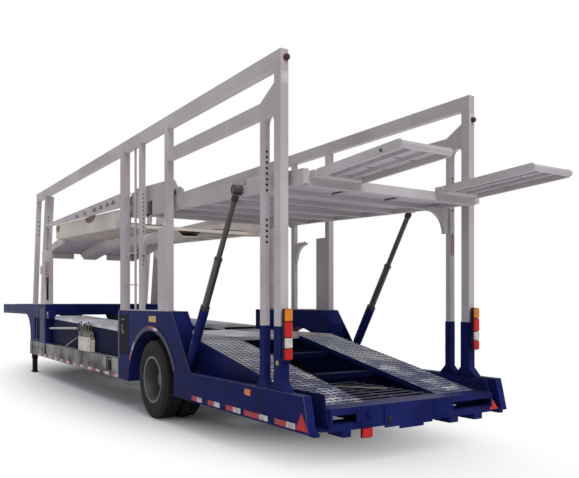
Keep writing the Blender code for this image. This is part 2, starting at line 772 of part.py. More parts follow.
def rear_side_beam(work, sign):
    """Open-topped side beam with the ramp's side plate, the cylinder's pocket and post feet."""
    end = [(BEAM_END_Y, BEAM_Z0), (BEAM_END_TOP_Y, BEAM_TOP), (BEAM_FRONT_Y, BEAM_TOP),
           (BEAM_FRONT_Y, BEAM_Z0)]
    ramp_meets = RAMP_REAR_Y + (BEAM_TOP - RAMP_REAR_Z) * (RAMP_FRONT_Y - RAMP_REAR_Y) / (
        RAMP_FRONT_Z - RAMP_REAR_Z)
    web = [(BEAM_WEB_FRONT_Y, BEAM_Z0), (BEAM_END_Y, BEAM_Z0), (BEAM_END_TOP_Y, BEAM_TOP),
           (ramp_meets, BEAM_TOP), (BEAM_WEB_FRONT_Y, ramp_top(BEAM_WEB_FRONT_Y))]
    solids = [
        side_outline(work, end, sign * BEAM_WALL_X, sign * HALF),
        side_outline(work, web, sign * BEAM_INNER_X, sign * (BEAM_INNER_X + PLATE)),
        box(work, sign * BEAM_INNER_X, sign * (BEAM_WALL_X + LAP), BEAM_END_Y + LAP,
            BEAM_WEB_FRONT_Y - LAP, BEAM_Z0 + PLATE, BEAM_Z0 + PLATE * 2),
        post_foot(work, sign, POST_IN, REAR_POST_Y, REAR_POST_DEPTH),
        post_foot(work, sign, PIN_POST_IN, PIN_POST_Y, PIN_POST_DEPTH),
    ]
    beam = join(work, solids)
    pocket = box(work, sign * (BEAM_WALL_X - OVERRUN), sign * (HALF - PLATE),
                 POCKET_END_Y, POCKET_FRONT_Y, BEAM_Z0 + PLATE * 2, BEAM_TOP + OVERRUN)
    return cut(work, beam, [pocket])


def rear_cross_beam(work):
    """Beam across the tail with two stowage slots and the brackets below it."""
    half = BEAM_INNER_X - GAP
    beam = box(work, -half, half, CROSS_END_Y, CROSS_FRONT_Y, BEAM_Z0, CROSS_TOP - GAP * 2)
    solids = [beam]
    for place, width in BRACKETS:
        solids.append(box(work, (place - width / 2) * HALF, (place + width / 2) * HALF,
                          CROSS_END_Y, CROSS_FRONT_Y, BEAM_Z0 - BRACKET_DROP, BEAM_Z0 + LAP))
    beam = join(work, solids)
    slots = []
    for sign in (-1, 1):
        slots.append(box(work, sign * TRACK_IN, sign * (RAMP_OUT - PLATE), CROSS_END_Y - OVERRUN,
                         CROSS_FRONT_Y + OVERRUN, BEAM_Z0 + BRACKET_DROP,
                         CROSS_TOP - BRACKET_DROP))
    return cut(work, beam, slots)


def axle_beam(work):
    """Round axle tube with its brake drums and spindles."""
    solids = [cylinder(work, (-AXLE_TUBE_HALF - LAP, AXLE_Y, TYRE_R),
                       (AXLE_TUBE_HALF + LAP, AXLE_Y, TYRE_R), AXLE_TUBE_R)]
    for sign in (-1, 1):
        solids.append(cylinder(work, (sign * AXLE_TUBE_HALF, AXLE_Y, TYRE_R),
                               (sign * DRUM_OUT_X, AXLE_Y, TYRE_R), DRUM_R, 28))
        solids.append(cylinder(work, (sign * (DRUM_OUT_X - LAP), AXLE_Y, TYRE_R),
                               (sign * SPINDLE_OUT_X, AXLE_Y, TYRE_R), SPINDLE_R))
    return join(work, solids)


def leaf_spring(work, sign):
    """Stepped leaf pack on the axle, curled up to a hanger at each end under the main beam."""
    x0 = sign * BEAM_X - SPRING_WIDTH / 2
    x1 = x0 + SPRING_WIDTH
    seat = TYRE_R + AXLE_TUBE_R
    base = seat + SEAT_HEIGHT
    solids = [box(work, x0, x1, AXLE_Y - SPRING_WIDTH, AXLE_Y + SPRING_WIDTH, seat + GAP,
                  base + LAP)]
    for i in range(LEAVES):
        reach = SPRING_HALF * (1 - (LEAVES - 1 - i) / (LEAVES + 1))
        low = []
        for t in range(-6, 7):
            way = reach * t / 6
            low.append((AXLE_Y + way, base + i * LEAF + SPRING_RISE * (way / SPRING_HALF) ** 2))
        high = [(y, z + LEAF + LAP / 4) for y, z in reversed(low)]
        solids.append(side_outline(work, low + high, x0, x1))
    eye_z = base + LEAVES * LEAF + SPRING_RISE - LEAF
    for end in (-1, 1):
        y = AXLE_Y + end * SPRING_HALF
        solids.append(box(work, x0, x1, y - HANGER_HALF, y + HANGER_HALF, eye_z - LEAF,
                          BEAM_OVER_AXLE - GAP))
    return join(work, solids)


def landing_leg(work, sign):
    """Telescopic leg down to its shoe on the ground, its top plate under the neck's side."""
    x, y = sign * LEG_X, LEG_Y
    return join(work, [
        box(work, x - LEG_HALF, x + LEG_HALF, y - LEG_HALF, y + LEG_HALF, LEG_OUTER_Z, SILL_Z),
        box(work, x - LEG_INNER_HALF, x + LEG_INNER_HALF, y - LEG_INNER_HALF,
            y + LEG_INNER_HALF, SHOE - LAP, LEG_OUTER_Z + LAP),
        box(work, x - LEG_HALF, x + LEG_HALF, y - SHOE_HALF, y + SHOE_HALF, 0, SHOE),
    ])


def rear_portal(work, sign):
    """Rear post, pin post, the arched gusset plate between them and the middle rail."""
    post_top = RAIL_Z - GAP
    y2 = REAR_POST_Y + REAR_POST_DEPTH
    arch_r = (PIN_POST_Y - y2) / 2
    middle = (PIN_POST_Y + y2) / 2
    bow = arc((middle, MID_RAIL_Z - arch_r), arch_r, 0, 180, 8)
    plate = [(y2 - LAP, GUSSET_TOP), (y2 - LAP, MID_RAIL_Z - arch_r)] + bow[::-1] + [
        (PIN_POST_Y + LAP, MID_RAIL_Z - arch_r), (PIN_POST_Y + PIN_POST_DEPTH, MID_RAIL_Z),
        (PIN_POST_Y + PIN_POST_DEPTH, MID_RAIL_TOP)]
    return join(work, [
        box(work, sign * POST_IN, sign * HALF, REAR_POST_Y, y2, FOOT_TOP + GAP, post_top),
        box(work, sign * PIN_POST_IN, sign * HALF, PIN_POST_Y, PIN_POST_Y + PIN_POST_DEPTH,
            FOOT_TOP + GAP, PIN_POST_TOP),
        side_outline(work, plate, sign * PIN_POST_IN, sign * HALF),
        box(work, sign * MID_RAIL_IN, sign * HALF, PIN_POST_Y + PIN_POST_DEPTH - LAP,
            C_POST_Y - GAP, MID_RAIL_Z, MID_RAIL_TOP),
    ])


def mid_portal(work, sign):
    """Three posts and a conduit over the axle, on one sill plate, with the rear deck's pivot."""
    post_top = RAIL_Z - GAP
    base = FENDER_TOP + GAP
    a_front = A_POST_Y + A_POST_DEPTH
    solids = [
        box(work, sign * A_POST_IN, sign * HALF, C_POST_Y - SILL_MARGIN, a_front + SILL_MARGIN,
            base, base + SILL),
        box(work, sign * POST_IN, sign * HALF, C_POST_Y, C_POST_Y + C_POST_DEPTH,
            base + SILL - LAP, post_top),
        box(work, sign * B_BAR_IN, sign * B_BAR_OUT, C_POST_Y + C_POST_DEPTH - LAP,
            SLOT_PLATE_Y, base + SILL - LAP, SLOT_PLATE_TOP),
        box(work, sign * B_BAR_IN, sign * B_BAR_OUT, B_BAR_Y, B_BAR_Y + B_BAR_DEPTH,
            base + SILL - LAP, post_top),
        box(work, sign * A_POST_IN, sign * HALF, A_POST_Y, a_front, base + SILL - LAP, post_top),
        cylinder(work, (sign * CONDUIT_X, CONDUIT_Y, base + SILL - LAP),
                 (sign * CONDUIT_X, CONDUIT_Y, post_top), CONDUIT_R, 12),
        cylinder(work, (sign * (DECK_IN + LAP), HINGE_Y, HINGE_Z),
                 (sign * (A_POST_IN + LAP), HINGE_Y, HINGE_Z), PIVOT_R),
        cylinder(work, (sign * (DECK_IN + LAP), FRONT_DECK_HINGE_Y, FRONT_DECK_HINGE_Z),
                 (sign * (A_POST_IN + LAP), FRONT_DECK_HINGE_Y, FRONT_DECK_HINGE_Z), PIVOT_R),
        box(work, sign * A_POST_IN, sign * HALF, a_front - LAP,
            FRONT_DECK_HINGE_Y + PIVOT_R * 2, FRONT_DECK_HINGE_Z - PIVOT_R * 2,
            FRONT_DECK_HINGE_Z + PIVOT_R * 2),
    ]
    return join(work, solids)


def front_portal(work, sign):
    """Leaning front post, the pin post in its wide sleeve and the wedge strip behind them."""
    post_top = RAIL_Z - GAP
    base = NECK_TOP + GAP
    foot = base + SILL - LAP
    a_front = A_POST_Y + A_POST_DEPTH
    lean = FRONT_PIN_TOP_Y + SLEEVE_LEAN
    pin_post = [
        (FRONT_PIN_TOP_Y, post_top), (FRONT_PIN_TOP_Y + FRONT_PIN_DEPTH, post_top),
        (lean + FRONT_PIN_DEPTH, SLEEVE_TOP + SLEEVE_SHOULDER / 2), (SLEEVE_FOOT_Y, foot),
        (SLEEVE_Y, foot), (SLEEVE_Y, SLEEVE_TOP), (lean, SLEEVE_TOP + SLEEVE_SHOULDER),
    ]
    post = [(FRONT_POST_TOP_Y, post_top), (FRONT_POST_TOP_Y + FRONT_POST_DEPTH, post_top),
            (FRONT_POST_FOOT_Y + FRONT_FOOT_DEPTH, foot), (FRONT_POST_FOOT_Y, foot)]
    strip_end = lerp(STRIP_TOP, SLEEVE_TOP, lean, post_top, FRONT_PIN_TOP_Y) + FRONT_PIN_DEPTH / 2
    strip = [(a_front + GAP, STRIP_REAR_Z), (strip_end, STRIP_FRONT_Z), (strip_end, STRIP_TOP),
             (a_front + GAP, STRIP_TOP)]
    return join(work, [
        side_outline(work, pin_post, sign * FRONT_PIN_IN, sign * HALF),
        side_outline(work, post, sign * POST_IN, sign * HALF),
        box(work, sign * FRONT_PIN_IN, sign * HALF, NECK_END_Y + LAP,
            FRONT_POST_FOOT_Y + FRONT_FOOT_DEPTH + SILL_MARGIN, base, base + SILL),
        side_outline(work, strip, sign * STRIP_IN, sign * STRIP_OUT),
    ])


def top_rail(work, sign):
    return box(work, sign * POST_IN, sign * HALF, REAR_POST_Y, RAIL_FRONT_Y, RAIL_Z, HEIGHT)


# Rear deck's side beam. Columns: share of the way from the tail to the hinge, then its
# bottom and top above the hinge's axis, as shares of DECK_DEPTH
DECK_TABLE = (
    (0.0, -0.667, -0.357),
    (0.1196, -0.643, -0.286),
    (0.6253, -0.452, 0.024),
    (0.6682, -0.429, 0.500),
    (0.9436, -0.357, 0.643),
    (1.0226, -0.214, 0.357),
)
# Front deck's side beam, from its hinge to its front end, shares of FRONT_DECK_DEPTH
FRONT_DECK_TABLE = (
    (-0.0173, -0.214, 0.357),
    (0.0494, -0.143, 0.857),
    (0.1160, -0.036, 0.929),
    (1.0, 0.393, 1.379),
)


def beam_outline(table, y0, y1, z, depth):
    """Closed (y, z) outline of a deck's side beam from its table."""
    places = [y0 + (y1 - y0) * share for share, _, _ in table]
    low = [(y, z + depth * row[1]) for y, row in zip(places, table)]
    high = [(y, z + depth * row[2]) for y, row in zip(places, table)]
    return low + high[::-1]


def loft(work, sections):
    """Closed solid through sections of equal point count, its ends filled with triangles."""
    shape = bmesh.new()
    rings = [[shape.verts.new(point) for point in section] for section in sections]
    count = len(rings[0])
    for a, b in zip(rings, rings[1:]):
        for i in range(count):
            j = (i + 1) % count
            shape.faces.new((a[i], a[j], b[j], b[i]))
    ends = [shape.faces.new(rings[0]), shape.faces.new(rings[-1])]
    bmesh.ops.triangulate(shape, faces=ends)
    return from_bmesh(shape, work)


def deck_floor_top(y):
    return lerp(y, DECK_TAIL_Y, DECK_FLOOR_TOP_TAIL, DECK_FLOOR_FRONT_Y, DECK_FLOOR_TOP_HINGE)


def eye_direction():
    return Vector((0, CYL_EYE_Y - CYL_BASE_Y, CYL_EYE_Z - CYL_BASE_Z)).normalized()


def deck_frame(work):
    """Side beams of the rear upper deck, the end bar with flap lugs and the cross ribs."""
    solids = []
    outline = beam_outline(DECK_TABLE, DECK_TAIL_Y, HINGE_Y, HINGE_Z, DECK_DEPTH)
    cheek = [(CHEEK_REAR_Y, CHEEK_TOP - DECK_DEPTH / 2), (CHEEK_REAR_Y, CHEEK_TOP - CHEEK_CROWN / 2),
             (CHEEK_REAR_Y + CHEEK_CROWN, CHEEK_TOP), (CHEEK_FRONT_Y, CHEEK_TOP - CHEEK_CROWN / 3),
             (CHEEK_FRONT_Y, CHEEK_TOP - DECK_DEPTH / 2)]
    for sign in (-1, 1):
        solids.append(side_outline(work, outline, sign * DECK_IN, sign * DECK_OUT))
        solids.append(side_outline(work, cheek, sign * (DECK_OUT - LAP), sign * (DECK_OUT + CHEEK)))
        solids.append(cylinder(work, (sign * DECK_IN, HINGE_Y, HINGE_Z),
                               (sign * (A_POST_IN - EYE_PIN_HEAD), HINGE_Y, HINGE_Z), BOSS_R, 24))
        solids.append(cylinder(work, (sign * (DECK_OUT - LAP), CYL_EYE_Y, CYL_EYE_Z),
                               (sign * (CYL_X - EYE_HALF - GAP), CYL_EYE_Y, CYL_EYE_Z),
                               EYE_R, ROUND_SIDES))
    floor = deck_floor_top(DECK_TAIL_Y)
    solids.append(box(work, -DECK_IN - LAP, DECK_IN + LAP, DECK_TAIL_Y, DECK_TAIL_Y + END_BAR,
                      floor - END_BAR + DECK_FLOOR, floor + DECK_FLOOR))
    y = DECK_TAIL_Y + END_BAR + DECK_RIB_STEP
    while y < DECK_FLOOR_FRONT_Y:
        top = deck_floor_top(y) - DECK_FLOOR - GAP
        solids.append(box(work, -DECK_IN - LAP, DECK_IN + LAP, y, y + DECK_RIB_WIDTH,
                          top - DECK_RIB, top))
        y += DECK_RIB_STEP
    for sign in (-1, 1):
        for x in (FLAP_IN - LUG - GAP, FLAP_OUT + GAP):
            reach = [(DECK_TAIL_Y + LAP, FLAP_HINGE_Z - KNUCKLE_R),
                     (DECK_TAIL_Y + LAP, FLAP_HINGE_Z + KNUCKLE_R)]
            reach += arc((FLAP_HINGE_Y, FLAP_HINGE_Z), KNUCKLE_R, 90, 270, 8)
            solids.append(side_outline(work, reach, sign * x, sign * (x + LUG)))
    frame = join(work, solids)
    cutters = []
    for sign in (-1, 1):
        cutters.append(cylinder(work, (sign * (DECK_IN - OVERRUN), HINGE_Y, HINGE_Z),
                                (sign * (A_POST_IN + OVERRUN), HINGE_Y, HINGE_Z), PIVOT_HOLE_R))
        cutters.append(cylinder(work, (sign * (FLAP_IN - LUG - OVERRUN), FLAP_HINGE_Y, FLAP_HINGE_Z),
                                (sign * (FLAP_OUT + LUG + OVERRUN), FLAP_HINGE_Y, FLAP_HINGE_Z),
                                FLAP_HOLE_R))
    return cut(work, frame, cutters)


def deck_floor(work):
    """Sloping floor plate of the rear upper deck, resting on the cross ribs."""
    y0, y1 = DECK_TAIL_Y + END_BAR + GAP, DECK_FLOOR_FRONT_Y
    outline = [(y0, deck_floor_top(y0)), (y1, deck_floor_top(y1)),
               (y1, deck_floor_top(y1) - DECK_FLOOR), (y0, deck_floor_top(y0) - DECK_FLOOR)]
    return side_outline(work, outline, -DECK_IN + GAP, DECK_IN - GAP)


def front_floor_top(y):
    return lerp(y, FRONT_FLOOR_REAR_Y, FRONT_DECK_HINGE_Z + FRONT_FLOOR_REAR, FRONT_DECK_END_Y,
                FRONT_DECK_HINGE_Z + FRONT_FLOOR_FRONT)


def nose_top(y):
    """Top of the narrow nose's bars, which fall from the deck's end to the nose's end."""
    return lerp(y, FRONT_DECK_END_Y, front_floor_top(FRONT_DECK_END_Y) - DECK_FLOOR - GAP,
                NOSE_END_Y, NOSE_TOP)


def keel(work):
    """Folded channel under the middle of the front deck, open above, narrower at its foot.

    Its section is the same all along, so each side is made of flat faces."""
    rows = ((KEEL_REAR_Y, front_floor_top(KEEL_REAR_Y) - DECK_FLOOR - LAP * 2),
            (KEEL_BEND_Y, nose_top(KEEL_BEND_Y) - LAP),
            (NOSE_END_Y - LAP, NOSE_TOP))
    depth = NOSE_TOP - NOSE_BOTTOM
    a, b, t = KEEL_TOP_HALF, KEEL_FOOT_HALF, PLATE
    return loft(work, [
        [(-a, y, top), (-b, y, top - depth), (b, y, top - depth), (a, y, top),
         (a - t, y, top), (b - t / 2, y, top - depth + t), (t / 2 - b, y, top - depth + t),
         (t - a, y, top)] for y, top in rows])


def front_deck_frame(work):
    """Front upper deck's side beams, ribs, middle channel and narrow nose, pivoted at the rear."""
    solids = []
    outline = beam_outline(FRONT_DECK_TABLE, FRONT_DECK_HINGE_Y, FRONT_DECK_END_Y,
                           FRONT_DECK_HINGE_Z, FRONT_DECK_DEPTH)
    last_rib_y = FRONT_DECK_END_Y - DECK_RIB_WIDTH
    start = last_rib_y + LAP
    nose_depth = NOSE_TOP - NOSE_BOTTOM
    bar = [(start, nose_top(FRONT_DECK_END_Y) - LAP * 2),
           (FRONT_DECK_END_Y, nose_top(FRONT_DECK_END_Y)), (NOSE_END_Y, NOSE_TOP),
           (NOSE_END_Y, NOSE_BOTTOM), (start, nose_top(FRONT_DECK_END_Y) - nose_depth)]
    for sign in (-1, 1):
        solids.append(side_outline(work, outline, sign * DECK_IN, sign * DECK_OUT))
        solids.append(side_outline(work, bar, sign * (NOSE_OUT - NOSE_BAR), sign * NOSE_OUT))
        solids.append(box(work, sign * NOSE_NOTCH_X, sign * (NOSE_OUT - LAP),
                          NOSE_END_Y - NOSE_BAR_DEPTH, NOSE_END_Y - LAP, NOSE_BOTTOM + LAP / 4,
                          NOSE_TOP - LAP / 4))
    count = round((FRONT_DECK_END_Y - FRONT_FLOOR_REAR_Y) / DECK_RIB_STEP)
    for i in range(count + 1):
        y = lerp(i, 0, FRONT_FLOOR_REAR_Y, count, last_rib_y)
        top = front_floor_top(y) - DECK_FLOOR - GAP
        solids.append(box(work, -DECK_IN - LAP, DECK_IN + LAP, y, y + DECK_RIB_WIDTH,
                          top - FRONT_RIB, top))
    solids.append(keel(work))
    frame = join(work, solids)
    cutters = [cylinder(work, (sign * (DECK_IN - OVERRUN), FRONT_DECK_HINGE_Y,
                               FRONT_DECK_HINGE_Z),
                        (sign * (A_POST_IN + OVERRUN), FRONT_DECK_HINGE_Y, FRONT_DECK_HINGE_Z),
                        PIVOT_HOLE_R) for sign in (-1, 1)]
    return cut(work, frame, cutters)


def front_deck_floor(work):
    """Floor plate of the front upper deck and the narrower plate down its nose."""
    def plate(y0, z0, y1, z1, half):
        outline = [(y0, z0), (y1, z1), (y1, z1 + DECK_FLOOR), (y0, z0 + DECK_FLOOR)]
        return side_outline(work, outline, -half, half)
    y0, y1 = FRONT_FLOOR_REAR_Y, FRONT_DECK_END_Y
    return join(work, [
        plate(y0, front_floor_top(y0) - DECK_FLOOR, y1, front_floor_top(y1) - DECK_FLOOR,
              DECK_IN - GAP),
        plate(y1 - LAP, nose_top(y1 - LAP) + GAP, NOSE_END_Y, NOSE_TOP + GAP, NOSE_OUT),
    ])


def tail_flap(work, sign):
    """Loading flap: a tray of four bars under its plate, a round tip bar and the hinge pin."""
    tip_y = Y_TAIL + TIP_BAR_R
    tip_z = FLAP_HINGE_Z + FLAP_TIP_RISE

    def slab(low, high):
        return [(FLAP_HINGE_Y, FLAP_HINGE_Z + low), (FLAP_HINGE_Y, FLAP_HINGE_Z + high),
                (tip_y, tip_z + high), (tip_y, tip_z + low)]
    x0, x1 = sign * FLAP_IN, sign * FLAP_OUT
    half = FLAP_DEPTH / 2
    solids = [
        side_outline(work, slab(half - FLAP_PLATE * 2, half - FLAP_PLATE), x0, x1),
        cylinder(work, (x0, FLAP_HINGE_Y, FLAP_HINGE_Z), (x1, FLAP_HINGE_Y, FLAP_HINGE_Z),
                 KNUCKLE_R),
        cylinder(work, (x0, tip_y, tip_z), (x1, tip_y, tip_z), TIP_BAR_R),
        cylinder(work, (sign * (FLAP_IN - LUG), FLAP_HINGE_Y, FLAP_HINGE_Z),
                 (sign * (FLAP_OUT + LUG), FLAP_HINGE_Y, FLAP_HINGE_Z), FLAP_PIN_R),
    ]
    for share in (0, 1):
        x = sign * (FLAP_IN + (FLAP_WIDTH - FLAP_BAR) * share)
        solids.append(side_outline(work, slab(-half, half), x, x + sign * FLAP_BAR))
    for share in (1, 2):
        x = sign * (FLAP_IN + FLAP_WIDTH * share / 3)
        solids.append(side_outline(work, slab(-half / 2, half - FLAP_PLATE * 3 / 2),
                                   x - sign * FLAP_BAR / 3, x + sign * FLAP_BAR / 3))
    return join(work, solids)


def on_cylinder(sign, distance):
    base = Vector((sign * CYL_X, CYL_BASE_Y, CYL_BASE_Z))
    return base + eye_direction() * distance


def cylinder_barrel(work, sign):
    """Lift cylinder's barrel, bored from its collar down, with the base eye."""
    x = sign * CYL_X
    barrel = join(work, [
        cylinder(work, on_cylinder(sign, 0), on_cylinder(sign, BARREL_LENGTH), BARREL_R, 24),
        cylinder(work, on_cylinder(sign, BARREL_LENGTH - COLLAR_LENGTH),
                 on_cylinder(sign, BARREL_LENGTH), COLLAR_R, 24),
        cylinder(work, (x - EYE_HALF, CYL_BASE_Y, CYL_BASE_Z),
                 (x + EYE_HALF, CYL_BASE_Y, CYL_BASE_Z), EYE_R),
        cylinder(work, (x - EYE_HALF - EYE_PIN_HEAD, CYL_BASE_Y, CYL_BASE_Z),
                 (x + EYE_HALF + EYE_PIN_HEAD, CYL_BASE_Y, CYL_BASE_Z), EYE_PIN_R),
    ])
    bore = cylinder(work, on_cylinder(sign, BARREL_FLOOR),
                    on_cylinder(sign, BARREL_LENGTH + OVERRUN), BARREL_BORE_R, 24)
    return cut(work, barrel, [bore])


def cylinder_stage(work, sign):
    """Middle tube of the telescopic cylinder."""
    tube = join(work, [
        cylinder(work, on_cylinder(sign, STAGE_START), on_cylinder(sign, STAGE_END), STAGE_R, 24),
        cylinder(work, on_cylinder(sign, STAGE_END - STAGE_HEAD),
                 on_cylinder(sign, STAGE_END), STAGE_R + LAP, 24),
    ])
    bore = cylinder(work, on_cylinder(sign, STAGE_START - OVERRUN),
                    on_cylinder(sign, STAGE_END + OVERRUN), STAGE_BORE_R, 24)
    return cut(work, tube, [bore])


def cylinder_rod(work, sign):
    """Inner rod with its eye beside the deck beam."""
    x = sign * CYL_X
    length = Vector((0, CYL_EYE_Y - CYL_BASE_Y, CYL_EYE_Z - CYL_BASE_Z)).length
    return join(work, [
        cylinder(work, on_cylinder(sign, ROD_START), on_cylinder(sign, length), ROD_R, 24),
        cylinder(work, (x - EYE_HALF, CYL_EYE_Y, CYL_EYE_Z),
                 (x + EYE_HALF, CYL_EYE_Y, CYL_EYE_Z), EYE_R),
        cylinder(work, (x + sign * (EYE_HALF - LAP), CYL_EYE_Y, CYL_EYE_Z),
                 (x + sign * (EYE_HALF + EYE_PIN_HEAD), CYL_EYE_Y, CYL_EYE_Z), EYE_PIN_R),
    ])


def tyre(work, sign, x):
    """One tyre as a closed profile, turned about the axle."""
    half = TYRE_WIDTH / 2
    bead = half - TYRE_SHOULDER / 2
    belly = (TYRE_R + TYRE_BEAD_R) / 2
    profile = [
        (TYRE_R - TYRE_SHOULDER / 4, half - TYRE_SHOULDER / 2),
        (TYRE_R, half - TYRE_SHOULDER),
        (TYRE_R, TYRE_SHOULDER - half),
        (TYRE_R - TYRE_SHOULDER / 4, TYRE_SHOULDER / 2 - half),
        (belly + TYRE_SHOULDER / 2, -half),
        (belly - TYRE_SHOULDER / 2, -half),
        (TYRE_BEAD_R, -bead),
        (TYRE_BEAD_R, bead),
        (belly - TYRE_SHOULDER / 2, half),
        (belly + TYRE_SHOULDER / 2, half),
    ]
    return turned(work, profile, (x, AXLE_Y, TYRE_R), (1, 0, 0), WHEEL_SIDES)


def twin_rim(work, sign):
    """Two rims back to back on one hub: wells, flanges, the deep outer dish and the bore."""
    out = DUAL_SPACING / 2
    half = TYRE_WIDTH / 2 - TYRE_SHOULDER / 2
    outer_face, inner_face = out + half + RIM_FLANGE_OFF, -out - half - RIM_FLANGE_OFF
    seat = RIM_R
    inside = seat - RIM_WALL
    disc = HUB_R + RIM_WALL
    hub_end = SPINDLE_OUT_X - DUAL_CENTRE_X + RIM_WALL
    profile = [
        (RIM_FLANGE_R, outer_face + RIM_WALL), (RIM_FLANGE_R, outer_face + GAP),
        (seat, outer_face + GAP), (seat, inner_face - GAP),
        (RIM_FLANGE_R, inner_face - GAP), (RIM_FLANGE_R, inner_face - RIM_WALL),
        (inside, inner_face - RIM_WALL), (inside, -RIM_WALL * 2),
        (HUB_BORE_R, -RIM_WALL * 2), (HUB_BORE_R, hub_end - RIM_WALL + GAP),
        (0, hub_end - RIM_WALL + GAP), (0, hub_end), (HUB_R * 3 / 4, hub_end),
        (HUB_R * 3 / 4, RIM_WALL * 3), (disc + RIM_WALL, RIM_WALL * 2),
        (inside - RIM_WALL * 2, RIM_WALL * 2), (inside, RIM_WALL * 5),
        (inside, outer_face + RIM_WALL),
    ]
    return turned(work, profile, (sign * DUAL_CENTRE_X, AXLE_Y, TYRE_R), (sign, 0, 0),
                  WHEEL_SIDES)


def main():
    clear_scene()
    parts = new_collection("car_transporter_trailer")
    work = new_collection("work")
    navy = new_material("navy_paint", (0.030, 0.045, 0.230), 0.35, 0.0)
    white = new_material("white_paint", (0.740, 0.700, 0.720), 0.45, 0.0)
    silver = new_material("silver_paint", (0.520, 0.520, 0.560), 0.40, 0.3)
    galvanised = new_material("galvanised_tread", (0.600, 0.620, 0.640), 0.50, 0.7)
    rubber = new_material("tyre_rubber", (0.020, 0.020, 0.022), 0.85, 0.0)
    steel = new_material("rim_steel", (0.450, 0.450, 0.470), 0.40, 0.8)
    black = new_material("black_paint", (0.025, 0.025, 0.028), 0.60, 0.0)
    rod_grey = new_material("cylinder_grey", (0.450, 0.450, 0.480), 0.30, 0.6)

    def keep(solid, name, material, origin=None):
        return finish(parts, work, solid, name, material, origin)

    axle = (0, AXLE_Y, TYRE_R)
    rear_pivot = (0, HINGE_Y, HINGE_Z)
    front_pivot = (0, FRONT_DECK_HINGE_Y, FRONT_DECK_HINGE_Z)
    flap_pivot = (0, FLAP_HINGE_Y, FLAP_HINGE_Z)
    cylinder_pivot = (0, CYL_BASE_Y, CYL_BASE_Z)
    keep(neck_frame(work), "neck_frame", navy)
    keep(middle_frame(work), "middle_frame", navy)
    keep(tail_frame(work), "tail_frame", navy)
    keep(neck_plate(work), "neck_plate", navy)
    keep(coupling_plate(work), "coupling_plate", steel)
    keep(hump_platform(work), "hump_platform", galvanised)
    keep(rear_cross_beam(work), "rear_cross_beam", navy)
    keep(axle_beam(work), "axle_beam", black)
    keep(deck_frame(work), "deck_frame", white, rear_pivot)
    keep(deck_floor(work), "deck_floor", white, rear_pivot)
    keep(front_deck_frame(work), "front_deck_frame", white, front_pivot)
    keep(front_deck_floor(work), "front_deck_floor", white, front_pivot)
    # One row a mirrored pair, columns name, function, material, origin
    pairs = (
        ("neck_side", neck_side, navy, None),
        ("side_box", side_box, silver, None),
        ("fender_box", fender_box, navy, None),
        ("lower_track", lower_track, galvanised, None),
        ("rear_ramp", rear_ramp, galvanised, None),
        ("rear_side_beam", rear_side_beam, navy, None),
        ("leaf_spring", leaf_spring, black, None),
        ("landing_leg", landing_leg, black, None),
        ("top_rail", top_rail, white, None),
        ("rear_portal", rear_portal, white, None),
        ("mid_portal", mid_portal, white, None),
        ("front_portal", front_portal, white, None),
        ("tail_flap", tail_flap, white, flap_pivot),
        ("cylinder_barrel", cylinder_barrel, navy, cylinder_pivot),
        ("cylinder_stage", cylinder_stage, rod_grey, cylinder_pivot),
        ("cylinder_rod", cylinder_rod, rod_grey, cylinder_pivot),
        ("twin_rim", twin_rim, steel, axle),
    )
    for name, make, material, origin in pairs:
        for side, sign in (("left", -1), ("right", 1)):
            keep(make(work, sign), f"{name}_{side}", material, origin)
    for side, sign in (("left", -1), ("right", 1)):
        for place, step in (("inner", -1), ("outer", 1)):
            x = sign * (DUAL_CENTRE_X + step * DUAL_SPACING / 2)
            keep(tyre(work, sign, x), f"tyre_{side}_{place}", rubber, axle)
    bpy.data.collections.remove(work)


main()
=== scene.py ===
# %% [markdown]
# # A double-deck car transporter trailer
# The real thing is a low semi-trailer that carries cars on two decks. Its solids come
# packed as a fixed frame; this lesson gives them their paint, tyres, lamps and small parts.
# Starting from the frame means that every new piece can be measured from the solids.

# %% Load the frame
import json
import math

import bmesh
import bpy
import numpy as np
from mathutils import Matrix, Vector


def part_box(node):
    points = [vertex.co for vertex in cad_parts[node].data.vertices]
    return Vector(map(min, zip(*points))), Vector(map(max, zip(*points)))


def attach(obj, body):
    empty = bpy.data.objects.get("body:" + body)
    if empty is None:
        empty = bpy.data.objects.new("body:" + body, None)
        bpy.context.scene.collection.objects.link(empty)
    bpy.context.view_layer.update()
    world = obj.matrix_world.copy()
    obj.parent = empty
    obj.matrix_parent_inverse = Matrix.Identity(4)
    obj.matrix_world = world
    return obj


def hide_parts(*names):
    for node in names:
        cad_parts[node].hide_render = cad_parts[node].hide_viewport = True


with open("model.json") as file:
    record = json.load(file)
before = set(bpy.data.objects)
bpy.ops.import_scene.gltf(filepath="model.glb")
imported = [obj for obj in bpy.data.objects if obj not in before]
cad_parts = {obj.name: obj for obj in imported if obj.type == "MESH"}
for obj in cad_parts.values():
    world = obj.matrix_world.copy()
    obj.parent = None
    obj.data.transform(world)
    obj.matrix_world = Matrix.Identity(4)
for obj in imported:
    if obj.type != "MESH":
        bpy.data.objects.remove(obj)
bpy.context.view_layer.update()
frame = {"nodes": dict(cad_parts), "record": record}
nodes = frame["nodes"]
SIDES = (("left", -1.0), ("right", 1.0))

# %% [markdown]
# The photograph was taken from behind the trailer's left side, from a standing person's
# height, with the lens level. A level camera keeps posts upright in the picture. The view
# is moved up or down with the lens shift, as with a view camera, and not by tilting.

